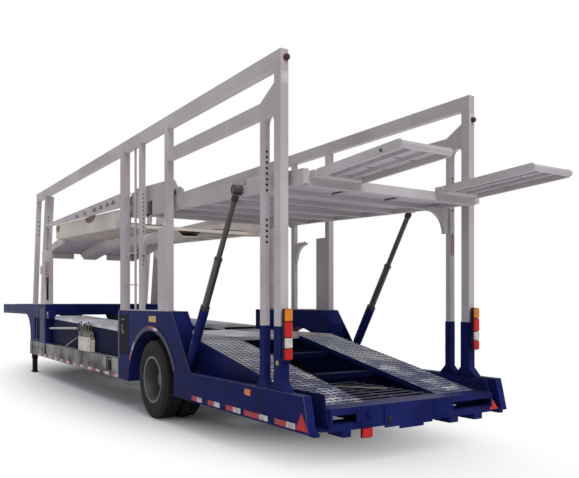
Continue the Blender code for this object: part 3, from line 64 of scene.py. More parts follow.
# %% Camera
lens = bpy.data.cameras.new("photo_lens")
lens.sensor_width = 36.0
lens.lens = 41.147
lens.shift_y = 0.1111
camera = bpy.data.objects.new("photo_camera", lens)
camera.location = (-4.469, -11.027, 1.498)
camera.rotation_euler = (math.pi / 2, 0.0, math.radians(-33.214))
bpy.context.scene.collection.objects.link(camera)
bpy.context.scene.camera = camera
bpy.context.scene.view_settings.view_transform = "Standard"
print("camera at", tuple(round(v, 3) for v in camera.location))

# %% [markdown]
# Shader maths reads best as plain expressions. One small class holds a socket, so that
# `1 - mask * 0.4` adds its Math nodes by itself. Every other kind of node comes from one
# method, which takes the node's type, its settings and the values or links of its sockets.


# %% A socket that knows arithmetic
class Signal:
    """One output of a material's nodes; sums and products with it add Math nodes."""

    def __init__(self, tree, socket):
        self.tree, self.socket = tree, socket

    def node(self, kind, settings=None, values=None, out=0):
        """Any node: type, settings first, then socket values or links by name or index."""
        made = self.tree.nodes.new(kind)
        for key, value in (settings or {}).items():
            setattr(made, key, value)
        for key, value in (values or {}).items():
            socket = made.inputs[key]
            if isinstance(value, Signal):
                self.tree.links.new(value.socket, socket)
            else:
                socket.default_value = value
        return Signal(self.tree, made.outputs[out])

    def maths(self, operation, *others):
        return self.node("ShaderNodeMath", {"operation": operation},
                         dict(enumerate((self,) + others)))

    def __add__(self, other):
        return self.maths("ADD", other)

    def __mul__(self, other):
        return self.maths("MULTIPLY", other)

    def __sub__(self, other):
        return self.maths("SUBTRACT", other)

    def __rsub__(self, other):
        return self.node("ShaderNodeMath", {"operation": "SUBTRACT"}, {0: other, 1: self})

    __radd__, __rmul__ = __add__, __mul__

    def between(self, low, high):
        """0 below low, 1 above high, smooth in between."""
        return self.node("ShaderNodeMapRange", {"interpolation_type": "SMOOTHSTEP"},
                         {"Value": self, "From Min": low, "From Max": high})

    def mix(self, zero, one):
        """The colour zero where the signal is 0, and one where it is 1."""
        pair = [c if isinstance(c, Signal) else (*c, 1.0) for c in (zero, one)]
        return self.node("ShaderNodeMix", {"data_type": "RGBA"},
                         {0: self, 6: pair[0], 7: pair[1]}, out=2)

    def noise(self, scale, detail=3.0, stretch=(1.0, 1.0, 1.0), kind="ShaderNodeTexNoise"):
        """Noise on these coordinates, stretched by a Mapping node."""
        spread = self.node("ShaderNodeMapping", None, {"Vector": self, "Scale": stretch})
        values = {"Vector": spread, "Scale": scale}
        if kind == "ShaderNodeTexNoise":
            values["Detail"] = detail
        return self.node(kind, None, values)

    def axis(self, name):
        """The X, Y or Z of a vector."""
        return self.node("ShaderNodeSeparateXYZ", None, {"Vector": self}, out=name)


class Finish:
    """A Principled material whose Object coordinates and normals are at hand as signals."""

    def __init__(self, name, **constants):
        self.material = bpy.data.materials.new(name)
        self.material.use_nodes = True
        self.tree = self.material.node_tree
        self.shader = self.tree.nodes["Principled BSDF"]
        for socket, value in constants.items():
            self.shader.inputs[socket.replace("_", " ")].default_value = value
        coordinates = self.tree.nodes.new("ShaderNodeTexCoord")
        self.place = Signal(self.tree, coordinates.outputs["Object"])
        geometry = self.tree.nodes.new("ShaderNodeNewGeometry")
        self.facing = Signal(self.tree, geometry.outputs["Normal"])

    def feed(self, socket, signal):
        self.tree.links.new(signal.socket, self.shader.inputs[socket])

    def bump(self, height, strength, distance):
        self.feed("Normal", height.node("ShaderNodeBump", None, {
            "Strength": strength, "Distance": distance, "Height": height}))

    def attribute(self, name):
        """A number that the mesh carries at its corners."""
        return self.place.node("ShaderNodeAttribute", {"attribute_name": name}, out="Fac")


# %% [markdown]
# The trailer stands on a pale floor in soft light. The sky only lights the paint; the
# camera, and whatever mirrors the room, sees plain white instead. The floor keeps the real
# shadow near the trailer and turns into plain white further out, so no horizon shows.

# %% Floor, backdrop and light
world = bpy.data.worlds.new("soft_room")
bpy.context.scene.world = world
world.use_nodes = True
room = world.node_tree
sky = room.nodes["Background"]
sky.inputs["Color"].default_value = (0.93, 0.95, 1.0, 1.0)
sky.inputs["Strength"].default_value = 0.46
paths = room.nodes.new("ShaderNodeLightPath")
plain = room.nodes.new("ShaderNodeBackground")
plain.inputs["Color"].default_value = (1.0, 1.0, 1.0, 1.0)
seen = (Signal(room, paths.outputs["Is Camera Ray"])
        .maths("MAXIMUM", Signal(room, paths.outputs["Is Glossy Ray"]))
        .maths("MAXIMUM", Signal(room, paths.outputs["Is Transmission Ray"])))
room_mix = seen.node("ShaderNodeMixShader", None, {
    0: seen, 1: Signal(room, sky.outputs[0]), 2: Signal(room, plain.outputs[0])})
room.links.new(room_mix.socket, room.nodes["World Output"].inputs["Surface"])

bpy.ops.mesh.primitive_plane_add(size=400.0, location=(0.0, 0.0, -0.001))
floor = bpy.context.object
floor.name = "studio_floor"
ground = Finish("pale_floor", Base_Color=(0.86, 0.86, 0.87, 1.0), Roughness=0.9)
flat = ground.place.node("ShaderNodeVectorMath", {"operation": "MULTIPLY"}, {
    0: ground.place, 1: (0.5, 0.16, 0.0)})
away = flat.node("ShaderNodeVectorMath", {"operation": "LENGTH"}, {0: flat}, out="Value")
white_floor = ground.tree.nodes.new("ShaderNodeEmission")
white_floor.inputs["Color"].default_value = (1.0, 1.0, 1.0, 1.0)
floor_paths = ground.tree.nodes.new("ShaderNodeLightPath")
fade = away.between(0.62, 1.35) * Signal(ground.tree, floor_paths.outputs["Is Camera Ray"])
floor_mix = fade.node("ShaderNodeMixShader", None, {
    0: fade, 1: Signal(ground.tree, ground.shader.outputs[0]),
    2: Signal(ground.tree, white_floor.outputs[0])})
ground.tree.links.new(floor_mix.socket, ground.tree.nodes["Material Output"].inputs["Surface"])
floor.data.materials.append(ground.material)

sun = bpy.data.objects.new("soft_sun", bpy.data.lights.new("soft_sun", "SUN"))
sun.data.energy = 1.3
sun.data.angle = math.radians(30.0)
sun.rotation_euler = (math.radians(46.0), 0.0, math.radians(-6.0))
bpy.context.scene.collection.objects.link(sun)
print("floor, room and sun are set")

# %% [markdown]
# A painted steel beam is never one colour. Rain leaves pale runs down it, dust lies on what
# faces up, what faces down takes a painted shade, and near the ground everything is dirtier.
# Each of these is a mask made from the place or the way a face looks, and the masks mix a
# few paint shades. The same recipe serves every painted part, with other numbers. The last
# shade is painted shade and road dirt at once; below the white decks it is a pale painted bounce
# light.


# %% Painted steel
def painted_steel(name, paint, worn, dust, grime_and_under_shade, roughness=0.45, streaks=0.35,
                  dusty=0.3, under_shade_and_dirt_amount=0.45, index=1.4, soil=(0.25, 1.9)):
    """Paint, its faded shade, dust on top faces, painted shade on faces turned down and road dirt low
    down; slight orange-peel bump.
    """
    skin = Finish(name, Coat_Roughness=0.25, IOR=index)
    broad = skin.place.noise(1.1, 5.0)
    runs = skin.place.noise(3.2, 5.0, (2.4, 2.4, 0.3)).between(0.5, 0.8)
    specks = skin.place.noise(55.0, 2.0).between(0.6, 0.72)
    up = skin.facing.axis("Z")
    low = 1 - skin.place.axis("Z").between(*soil)
    colour = broad.between(0.3, 0.7).mix(paint, worn)
    colour = (runs * streaks).mix(colour, worn)
    colour = (up.between(0.35, 0.95) * (broad * 0.6 + 0.5) * dusty).mix(colour, dust)
    # Painted shade: faces turned down take the last shade, which on white paint is a pale painted
    # bounce light from the floor.
    under = (0 - up).between(0.35, 0.95) * under_shade_and_dirt_amount
    splash = low * skin.place.noise(3.5, 5.0).between(0.4, 0.7) * (under_shade_and_dirt_amount * 0.8)
    colour = (under.maths("MAXIMUM", splash) + specks * low * 0.1).mix(colour, grime_and_under_shade)
    skin.feed("Base Color", colour)
    skin.feed("Roughness", broad * 0.16 + runs * 0.08 + under * 0.2 + (roughness - 0.06))
    skin.bump(skin.place.noise(140.0, 2.0) * 0.5 + skin.place.noise(7.0, 2.0), 0.25, 0.002)
    return skin.material


white_paint = painted_steel("dusty_white_paint", (0.575, 0.535, 0.55), (0.47, 0.415, 0.425),
                            (0.58, 0.56, 0.55), (0.9, 0.82, 0.85), roughness=0.52,
                            streaks=0.3, under_shade_and_dirt_amount=0.7)
cream_paint = painted_steel("dusty_cream_paint", (0.8, 0.73, 0.64), (0.62, 0.55, 0.49),
                            (0.58, 0.55, 0.5), (0.92, 0.84, 0.86), roughness=0.52,
                            streaks=0.3, under_shade_and_dirt_amount=0.7)
navy_paint = painted_steel("navy_paint", (0.0085, 0.014, 0.104), (0.016, 0.022, 0.13),
                           (0.03, 0.034, 0.085), (0.012, 0.011, 0.026), roughness=0.36,
                           streaks=0.35, dusty=0.25, under_shade_and_dirt_amount=0.7, index=1.09)
# A darker copy of the navy paint: painted shade for the frame under the decks.
shaded_navy = painted_steel("shaded_underframe_navy_paint", (0.0035, 0.005, 0.034),
                            (0.006, 0.008, 0.045), (0.01, 0.011, 0.034),
                            (0.008, 0.007, 0.014), roughness=0.45, dusty=0.2, index=1.08)
# The silver lockers turn darker in patches towards the bottom, below a height of 0.7.
silver_paint = painted_steel("silver_grey_paint", (0.075, 0.07, 0.075), (0.46, 0.43, 0.41),
                             (0.2, 0.19, 0.19), (0.03, 0.027, 0.036), roughness=0.42,
                             streaks=0.5, under_shade_and_dirt_amount=1.2, index=1.1, soil=(0.44, 0.7))
black_paint = painted_steel("chassis_black_paint", (0.014, 0.014, 0.018), (0.028, 0.027, 0.031),
                            (0.08, 0.076, 0.072), (0.045, 0.04, 0.036), roughness=0.55,
                            index=1.2)
print("painted steel finishes:", 6)

# %% [markdown]
# Bare metals come in three kinds here. Galvanised sheet shows crystals, each a slightly
# different grey. A piston rod is ground and oiled. A wheel rim is silver paint with brake
# dust. Voronoi cells make the crystals, and stretched noise makes the grinding marks.


# %% Bare metals
def galvanised_sheet(name, light, dark, dust):
    """Zinc crystals from Voronoi cells, dulled by dust; holes marked by an attribute take a
    near-black painted shade.

    Low on the tail, where y is under -4.3, navy overspray is left between the rubbed tracks."""
    skin = Finish(name, Specular_IOR_Level=0.5)
    cell = skin.place.noise(48.0, kind="ShaderNodeTexVoronoi")
    tint = cell.node("ShaderNodeTexVoronoi", None, {"Vector": skin.place, "Scale": 48.0},
                     out="Color").axis("X")
    broad = skin.place.noise(1.6, 5.0).between(0.32, 0.68)
    mud = skin.place.noise(9.0, 5.0).between(0.5, 0.78)
    worn = skin.place.noise(2.6, 5.0).between(0.35, 0.65)
    colour = (tint * 0.35 + worn * 0.65).mix(dark, light)
    colour = (mud * 0.35 + broad * 0.55).mix(colour, dust)
    low_end = 1 - skin.place.axis("Y").between(-5.5, -4.3)
    rubbed = low_end * skin.place.noise(5.0, 4.0).between(0.28, 0.58)
    colour = (rubbed * 0.84).mix(colour, (0.026, 0.038, 0.165))
    # Painted shade: the holes' walls and closed middles are coloured near black.
    hole = skin.attribute("hole")
    skin.feed("Base Color", hole.mix(colour, (0.005, 0.005, 0.01)))
    skin.feed("Metallic", (1 - hole) * (1 - mud * 0.5 - broad * 0.4) * 0.22)
    skin.feed("Roughness", tint * 0.16 + mud * 0.2 + broad * 0.1 + 0.36)
    skin.bump(cell * 0.5 + skin.place.noise(90.0, 2.0), 0.25, 0.0015)
    return skin.material


def ground_steel(name, light, dark, roughness, metallic=0.9):
    """Fine grinding marks round and along, with oily darker patches."""
    skin = Finish(name)
    marks = skin.place.noise(30.0, 2.0, (10.0, 1.0, 10.0))
    oil = skin.place.noise(4.0, 4.0).between(0.45, 0.72)
    skin.feed("Base Color", (oil * 0.8).mix(marks.mix(dark, light), dark))
    skin.feed("Roughness", marks * 0.12 + oil * 0.25 + roughness)
    skin.feed("Metallic", (1 - oil * 0.4) * metallic)
    skin.bump(marks, 0.12, 0.001)
    return skin.material


tread_metal = galvanised_sheet("galvanised_tread_metal", (0.92, 0.95, 1.0),
                               (0.26, 0.31, 0.46), (0.78, 0.66, 0.52))
rod_steel = ground_steel("dull_rod_steel", (0.19, 0.172, 0.168), (0.075, 0.066, 0.064), 0.32)
rim_paint = ground_steel("brake_dusted_rim", (0.23, 0.22, 0.22), (0.08, 0.076, 0.074), 0.42,
                         0.45)
bolt_steel = ground_steel("bolt_steel", (0.4, 0.39, 0.38), (0.17, 0.15, 0.13), 0.4)
print("bare metal finishes:", 4)

# %% [markdown]
# Every solid of the frame keeps its shape and gets one of these finishes in place of its
# flat colour. Its slot's name says which finish it takes, apart from a few nodes. The ramps'
# folded sides are navy below a galvanised tread, the frame under the decks is a darker navy
# than the faces in the light, as painted shade, and the front deck's beams are creamier than the
# rest.

# %% Dress the solids
BY_SLOT = {"navy_paint": navy_paint, "white_paint": white_paint, "silver_paint": silver_paint,
           "galvanised_tread": tread_metal, "rim_steel": rim_paint, "black_paint": black_paint,
           "cylinder_grey": rod_steel}
BY_NODE = {"rear_ramp_left": navy_paint, "rear_ramp_right": navy_paint,
           "neck_frame": shaded_navy, "middle_frame": shaded_navy, "tail_frame": shaded_navy,
           "front_deck_frame": cream_paint}
SLOT_OF = {part["node"]: part["material_slot"] for part in frame["record"]["subparts"]}
dressed = 0
for node_name, slot_name in SLOT_OF.items():
    solid = nodes[node_name]
    if slot_name in BY_SLOT:
        solid.data.materials.clear()
        solid.data.materials.append(BY_NODE.get(node_name, BY_SLOT[slot_name]))
        dressed += 1
print("dressed solids:", dressed)

# %% [markdown]
# New pieces are arrays: a grid of corner points becomes faces between neighbours. Poles are
# rows of a grid that shrink to one point, and a merge closes them. These few helpers build
# everything else: a chamfered block, a turned shape, a tube on a path, and copies at places.


# %% Shapes as arrays
def grid(points, round_u=False, round_v=False):
    """Faces between neighbours of points[i, j]; the last joins the first where round."""
    m, n = points.shape[:2]
    i, j = np.meshgrid(np.arange(m if round_u else m - 1), np.arange(n if round_v else n - 1),
                       indexing="ij")
    a, b = (i + 1) % m, (j + 1) % n
    faces = np.stack((i * n + j, a * n + j, a * n + b, i * n + b), -1).reshape(-1, 4)
    return points.reshape(-1, 3).astype(float), faces


def gather(*shapes):
    """Several shapes in one: each shape's corner numbers follow those before it."""
    starts = np.cumsum([0] + [len(points) for points, _ in shapes[:-1]])
    return (np.concatenate([points for points, _ in shapes]),
            np.concatenate([faces + s for (_, faces), s in zip(shapes, starts)]))


def copies(shape, places, turns=None):
    """The shape at each place: corner = place + turn times corner, for all copies at once."""
    points, faces = shape
    places = np.asarray(places, float).reshape(-1, 3)
    turns = np.broadcast_to(np.eye(3) if turns is None else turns, (len(places), 3, 3))
    moved = np.einsum("kab,nb->kna", turns, points) + places[:, None]
    numbers = faces[None] + (np.arange(len(places)) * len(points))[:, None, None]
    return moved.reshape(-1, 3), numbers.reshape(-1, 4)


def spots(x, y, z):
    """Places from x, y and z, each a single number or a row."""
    return np.column_stack(np.broadcast_arrays(x, y, z))


def looking(direction):
    """A turn whose third column is direction, with the second column close to up."""
    out = np.asarray(direction, float) / np.linalg.norm(direction)
    side = np.cross((0.0, 1.0, 0.0) if abs(direction[2]) > 0.9 else (0.0, 0.0, 1.0), out)
    side = side / np.linalg.norm(side)
    return np.stack((side, np.cross(out, side), out), 1)


def capped(rings):
    """Rings joined one to the next, with both ends closed at their middles."""
    ends = [np.repeat(rings[[i]].mean(1, keepdims=True), rings.shape[1], 1) for i in (0, -1)]
    return grid(np.concatenate((ends[0], rings, ends[1])), round_v=True)


def block(low, high, edge=0.004):
    """A box with chamfered edges: an eight-sided section through rings, closed to a point."""
    low, high = np.minimum(low, high), np.maximum(low, high)
    middle, half = (low + high) / 2, (high - low) / 2
    edge = min(edge, float(half.min()) * 0.8)
    turn = np.array([(1, 0), (0, 1), (0, 1), (1, 0), (1, 0), (0, 1), (0, 1), (1, 0)])
    sign = np.array([(1, 1), (1, 1), (-1, 1), (-1, 1), (-1, -1), (-1, -1), (1, -1), (1, -1)])
    full = sign * (half[:2] - edge * (1 - turn))
    small = sign * np.maximum(half[:2] - edge * (1 - turn) - edge, half[:2] * 0.05)
    rings = [full * 0, small, full, full, small, full * 0]
    levels = np.array([-1, -1, -1, 1, 1, 1]) * half[2] + np.array([0, 0, 1, -1, 0, 0]) * edge
    points = np.stack([np.column_stack((ring, np.full(8, level)))
                       for ring, level in zip(rings, levels)])
    return grid(points + middle, round_v=True)


def boxes(sign, *rows):
    """Blocks in one shape. A row is one corner, the other and the chamfer; sign turns its x."""
    return gather(*[block((sign * a, b, c), (sign * d, e, f), edge)
                    for a, b, c, d, e, f, edge in rows])


def turned(profile, centre=(0.0, 0.0, 0.0), axis=(0, 0, 1), steps=48):
    """A profile of (radius, distance) turned about an axis through the centre."""
    profile = np.asarray(profile, float)
    angle = np.linspace(0, 2 * math.pi, steps, endpoint=False)
    radius, along = profile[:, :1], profile[:, 1:]
    flat_points = np.stack(np.broadcast_arrays(radius * np.cos(angle), radius * np.sin(angle),
                                               along), -1)
    return grid(flat_points @ looking(axis).T + np.asarray(centre, float), round_v=True)


def rounded_path(corners, steps=8):
    """A smooth curve through the corners: Catmull-Rom, cubic in each span."""
    p = np.asarray(corners, float)
    p = np.concatenate((2 * p[:1] - p[1:2], p, 2 * p[-1:] - p[-2:-1]))
    t = np.linspace(0, 1, steps, endpoint=False)[None, :, None]
    a, b, c, d = p[:-3, None], p[1:-2, None], p[2:-1, None], p[3:, None]
    span = 0.5 * (2 * b + (c - a) * t + (2 * a - 5 * b + 4 * c - d) * t ** 2
                  + (3 * b - a - 3 * c + d) * t ** 3)
    return np.concatenate((span.reshape(-1, 3), p[-2:-1]))


def tube(path, radius, sides=10):
    """A round tube: circles square to the path, ends closed to a point.

    radius is one number, or one for each point of the path."""
    path = np.asarray(path, float)
    ahead = np.gradient(path, axis=0)
    ahead /= np.linalg.norm(ahead, axis=1, keepdims=True)
    guide = np.eye(3)[int(np.argmin(np.ptp(path, axis=0)))] + 0.013
    side = np.cross(ahead, guide)
    side /= np.linalg.norm(side, axis=1, keepdims=True)
    other = np.cross(ahead, side)
    angle = np.linspace(0, 2 * math.pi, sides, endpoint=False)[None, :, None]
    circles = np.cos(angle) * side[:, None] + np.sin(angle) * other[:, None]
    return capped(path[:, None] + np.reshape(radius, (-1, 1, 1)) * circles)


def plate(outline, low, high):
    """A flat outline in y and z with a thickness along x; both faces fan to their middle."""
    return capped(np.stack([np.insert(np.asarray(outline, float), 0, level, axis=1)
                            for level in (low, high)]))


MERGE = 1e-5


def put(name, shape, finish, body="chassis", smooth=35.0, marks=None):
    """Arrays become a piece: poles merged, faces outwards, shallow edges shaded smooth."""
    points, faces = shape
    mesh = bpy.data.meshes.new(name)
    mesh.from_pydata(points.tolist(), [], faces.tolist())
    for label, values in (marks or {}).items():
        layer = mesh.attributes.new(label, "FLOAT", "POINT")
        layer.data.foreach_set("value", np.asarray(values, np.float32))
    work = bmesh.new()
    work.from_mesh(mesh)
    bmesh.ops.remove_doubles(work, verts=work.verts, dist=MERGE)
    bmesh.ops.dissolve_degenerate(work, edges=work.edges, dist=MERGE)
    bmesh.ops.recalc_face_normals(work, faces=work.faces)
    work.to_mesh(mesh)
    work.free()
    mesh.materials.append(finish)
    mesh.shade_smooth()
    mesh.set_sharp_from_angle(angle=math.radians(smooth))
    piece = bpy.data.objects.new(name, mesh)
    bpy.context.scene.collection.objects.link(piece)
    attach(piece, body)
    print(f"{name}: {len(mesh.polygons)} faces")
    return piece


# %% [markdown]
# A truck tyre has a flat tread cut by grooves that run round it, with blocks at its
# shoulders, and sidewalls with moulded ribs. It could be sculpted, but a tyre is the
# same all round, so one formula of angle and of the way across gives every point: the
# cross-section's radius, less the depth of whichever groove the point lies in.

# %% Tyres
skin = Finish("worn_tyre_rubber", Roughness=0.82, Specular_IOR_Level=0.2)
caked = skin.place.noise(7.0, 5.0).between(0.42, 0.72)
skin.feed("Base Color", (caked * 0.55 + skin.attribute("tread") * 0.3).mix(
    (0.01, 0.01, 0.011), (0.04, 0.037, 0.032)))
skin.feed("Roughness", caked * 0.15 + 0.72)
skin.bump(skin.place.noise(160.0, 3.0), 0.3, 0.0012)
tyre_rubber = skin.material
AXLE_Y, AXLE_Z = -2.87, 0.51


def tyre_shape(x, steps=288):
    """Radius by the way across: flat tread, round shoulders, bulging walls, closed bead.

    Groove depth is 12 mm in three lines round the tread, which swing slightly with the
    angle, and 7 mm in cuts across the shoulders, 48 to the turn."""
    wall = np.array([
        (0.2866, -0.098), (0.3, -0.108), (0.33, -0.1165), (0.345, -0.1195), (0.35, -0.1188),
        (0.372, -0.1236), (0.4, -0.1243), (0.428, -0.1228), (0.434, -0.1205), (0.455, -0.1175),
        (0.478, -0.11), (0.492, -0.1045), (0.4985, -0.1005), (0.5035, -0.0965)])
    across = np.linspace(-0.092, 0.092, 41)
    tread = np.column_stack((0.5095 - 0.01 * (across / 0.1) ** 4, across))
    profile = np.concatenate((wall, tread, wall[::-1] * (1, -1), [(0.2866, 0.0)]))
    angle = np.linspace(0, 2 * math.pi, steps, endpoint=False)
    way, turn = np.meshgrid(profile[:, 1], angle, indexing="ij")
    radius = np.repeat(profile[:, :1], steps, 1)
    on_top = (radius > 0.494) & (np.abs(way) < 0.098)
    swing = 0.0035 * np.sign(np.sin(turn * 24))
    lines = np.min([np.abs(way - line - swing) for line in (-0.052, 0.0, 0.052)], axis=0)
    cuts = (np.sin(turn * 48) > 0.62) & (np.abs(way) > 0.062) & (radius > 0.48)
    depth = np.where(on_top & (lines < 0.0052), 0.012, 0.0)
    depth = np.maximum(depth, np.where(cuts, 0.007, 0.0))
    radius = radius - depth
    points = np.stack((way + x, AXLE_Y + radius * np.cos(turn), AXLE_Z + radius * np.sin(turn)),
                      -1)
    return grid(points, round_u=True, round_v=True), (depth > 0).astype(float).ravel()


for side, _ in SIDES:
    for where in ("inner", "outer"):
        low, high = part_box(f"tyre_{side}_{where}")
        shape, tread = tyre_shape((low[0] + high[0]) / 2)
        tyre = put(f"tyre_{side}_{where}_treaded", shape, tyre_rubber, f"wheel_{side}",
                   smooth=30.0, marks={"tread": tread})
        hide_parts(f"tyre_{side}_{where}")

# %% [markdown]
# The outer rim is deep, with its disc set far in. The disc has round hand holes, a ring of
# wheel nuts, and a hub cap in the middle. Holes are dark cups with a rolled lip, since the
# solid disc behind must stay closed; the cups' dark is painted shade.


# %% Rims
def mottled(name, scale, dark, light, **constants):
    """One plain shade that noise makes a little uneven."""
    skin = Finish(name, **constants)
    skin.feed("Base Color", skin.place.noise(scale).mix(dark, light))
    return skin.material


# Painted shade: a near-black finish for holes, slots, gaps, ports and the fender recess.
painted_shade_gap = mottled("painted_shade_hollow", 20.0, (0.008, 0.008, 0.01), (0.02, 0.02, 0.024),
                   Roughness=0.9, Specular_IOR_Level=0.2)


def ring_of(shape, centre, sign, radius, count, start=0.0):
    """Copies of a shape round the wheel's axis, each turned to point outwards."""
    angle = start + np.arange(count) * 2 * math.pi / count
    out = spots(0.0, np.cos(angle), np.sin(angle))
    ahead = np.broadcast_to([sign, 0.0, 0.0], out.shape)
    turns = np.stack((np.cross(out, ahead), out, ahead), -1)
    return copies(shape, np.asarray(centre) + out * radius, turns)


for side, sign in SIDES:
    centre, way, body = np.array([sign * 1.0195, AXLE_Y, AXLE_Z]), (sign, 0, 0), f"wheel_{side}"
    face = turned([(0.118, 0.008), (0.135, 0.003), (0.16, 0.001), (0.24, 0.001),
                   (0.246, 0.006), (0.262, 0.034), (0.2705, 0.04)], centre, way, 72)
    lip = turned([(0.038, 0.0), (0.037, 0.006), (0.031, 0.007), (0.03, 0.0015)], steps=16)
    lock_ring = turned([(0.283, 0.0), (0.29, 0.008), (0.303, 0.01), (0.305, 0.004)],
                       (sign * 1.2435, AXLE_Y, AXLE_Z), way, 96)
    put(f"rim_{side}_disc_face", gather(face, ring_of(lip, centre, sign, 0.198, 10), lock_ring),
        rim_paint, body)
    cup = turned([(0.0305, 0.002), (0.0, 0.002)], steps=16)
    put(f"rim_{side}_hand_holes", ring_of(cup, centre, sign, 0.198, 10), painted_shade_gap, body)
    cap = turned([(0.112, 0.002), (0.112, 0.012), (0.092, 0.0135), (0.091, 0.115),
                  (0.084, 0.122), (0.072, 0.1225)], centre, way, 48)
    dome = turned([(0.072, 0.1225), (0.07, 0.131), (0.04, 0.137), (0.0, 0.138)], centre, way, 36)
    bolt = turned([(0.008, 0.0), (0.008, 0.006), (0.005, 0.008), (0.0, 0.008)], steps=6)
    bolts = ring_of(bolt, centre + (sign * 0.122, 0, 0), sign, 0.081, 8)
    put(f"hub_{side}_cap", gather(cap, dome, bolts), rim_paint, body)
    nut = turned([(0.02, 0.0), (0.02, 0.004), (0.0165, 0.005), (0.0165, 0.02),
                  (0.0145, 0.023), (0.009, 0.023), (0.009, 0.034), (0.0, 0.036)], steps=6)
    put(f"wheel_{side}_nuts", ring_of(nut, centre + (sign * 0.003, 0, 0), sign, 0.14, 10, 0.3),
        bolt_steel, body)

# %% [markdown]
# Cars need grip on a slope, so the ramps and tracks are sheets with punched holes whose
# rims stand up. A Boolean for every hole would be slow. Instead one square cell with a
# round hole is worked out as rings of twelve points, and copied over the whole sheet; the
# cells' edges meet, so the sheet is one surface. The upper decks' lanes ride on their decks.


# %% Punched tread sheets
def punched_sheet(corner, across, along, counts, hole, lip=0.005):
    """Cells of rings: square edge, foot of the rim, its crest, the hole's wall, the middle.

    corner is the sheet's first corner, across and along its edge vectors."""
    corner, across, along = (np.asarray(v, float) for v in (corner, across, along))
    step_u, step_v = across / counts[0], along / counts[1]
    out = np.cross(across, along)
    out = out / np.linalg.norm(out) * (1.0 if out[2] > 0 else -1.0)
    turn = (np.arange(12) + 0.5) * math.pi / 6
    round_way = np.stack((np.cos(turn), np.sin(turn)), -1)
    square = round_way / np.abs(round_way).max(1, keepdims=True) / 2
    size = np.array([np.linalg.norm(step_u), np.linalg.norm(step_v)])
    rings = []
    for share, height in ((None, 0.0), (1.22, 0.0), (1.04, lip), (0.98, -0.0012), (0.0, -0.0012)):
        flat_ring = square if share is None else round_way * hole * share / size
        rings.append(flat_ring[:, :1] * step_u + flat_ring[:, 1:] * step_v + out * height)
    i, j = np.meshgrid(np.arange(counts[0]) + 0.5, np.arange(counts[1]) + 0.5, indexing="ij")
    places = corner + i.reshape(-1, 1) * step_u + j.reshape(-1, 1) * step_v
    # mark is 1 on each hole's wall and middle, where the galvanised finish paints shade.
    mark = np.tile(np.repeat([0.0, 0.0, 0.0, 1.0, 1.0], 12), len(places))
    return copies(grid(np.stack(rings), round_v=True), places), mark


def rear_deck_z(y):
    return 2.63 + (y + 6.18) / 4.28 * 0.135


def front_deck_z(y):
    return 2.712 + (y + 1.35) / 3.85 * 0.12


LIFT = 0.0025
NECK_Z = float(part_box("neck_plate")[1][2])
for side, sign in SIDES:
    for name, body, finish, x0, x1, y0, y1, z0, z1, counts, hole in (
            (f"rear_ramp_{side}_tread", "chassis", tread_metal,
             0.477, 1.028, -6.208, -3.722, 0.5734, 1.0696, (8, 36), 0.026),
            (f"lower_track_{side}_tread", "chassis", tread_metal,
             0.477, 1.158, -1.558, 2.798, 1.12, 1.2399, (10, 62), 0.0205),
            (f"hump_{side}_tread", "chassis", tread_metal,
             0.477, 1.03, -3.698, -1.582, 1.075, 1.075, (8, 30), 0.0205),
            (f"neck_lane_{side}", "chassis", navy_paint,
             0.44, 1.04, 3.1, 7.15, NECK_Z, NECK_Z, (6, 40), 0.026),
            (f"rear_deck_lane_{side}", "rear_deck", white_paint,
             0.42, 1.06, -6.05, -1.93, rear_deck_z(-6.05), rear_deck_z(-1.93), (6, 38), 0.026),
            (f"front_deck_lane_{side}", "front_deck", white_paint,
             0.42, 1.06, -1.33, 2.47, front_deck_z(-1.33), front_deck_z(2.47), (6, 35), 0.026)):
        sheet, mark = punched_sheet((sign * x0, y0, z0 + LIFT), (sign * (x1 - x0), 0, 0),
                                    (0, y1 - y0, z1 - z0), counts, hole)
        put(name, sheet, finish, body, smooth=50.0, marks={"hole": mark})

# %% [markdown]
# Seams show where the deck sheets were welded edge to edge: narrow strips in a shade of
# their own, across each deck, and two short ones where the flaps' hinge bar begins.

# %% Deck seams
dark_seam = painted_steel("seam_shadow_paint", (0.15, 0.14, 0.16), (0.1, 0.09, 0.11),
                          (0.2, 0.19, 0.19), (0.07, 0.06, 0.06), roughness=0.7)
short = [(x - 0.004, -6.04, rear_deck_z(-6.04) - 0.0165,
          x + 0.004, -5.55, rear_deck_z(-5.55) - 0.0125, 0.001) for x in (-0.36, 0.36)]
for deck, deck_z, places, more in (("rear", rear_deck_z, (-5.3, -4.4, -3.5, -2.6), short),
                                   ("front", front_deck_z, (-0.7, 0.2, 1.1, 1.9), [])):
    rows = [(-1.08, y - 0.004, deck_z(y) - 0.0161, 1.08, y + 0.004, deck_z(y) - 0.0121, 0.001)
            for y in places]
    put(f"{deck}_deck_seams", boxes(1, *rows, *more), dark_seam, f"{deck}_deck")

# %% [markdown]
# The decks are held by pins pushed through holes in the posts. A row of evenly spaced holes
# is how a maker lets the deck stand at many heights. Each hole is a dark cup in a thin
# punched rim, facing out of the post's face; the cup's dark is painted shade.


# %% Pin holes
def hole_pieces(name, body, rows):
    """All rims in one piece, all dark cups in another; a row is places, direction, radius."""
    rims, cups = [], []
    for places, direction, radius in rows:
        rim = turned([(radius * 1.25, 0.0), (radius * 1.22, 0.0012), (radius, 0.0012),
                      (radius * 0.98, 0.0004)], steps=14)
        cup = turned([(radius, 0.0007), (0.0, 0.0007)], steps=14)
        rims.append(copies(rim, places, looking(direction)))
        cups.append(copies(cup, places, looking(direction)))
    put(f"{name}_rims", gather(*rims), white_paint, body)
    put(f"{name}_cups", gather(*cups), painted_shade_gap, body)


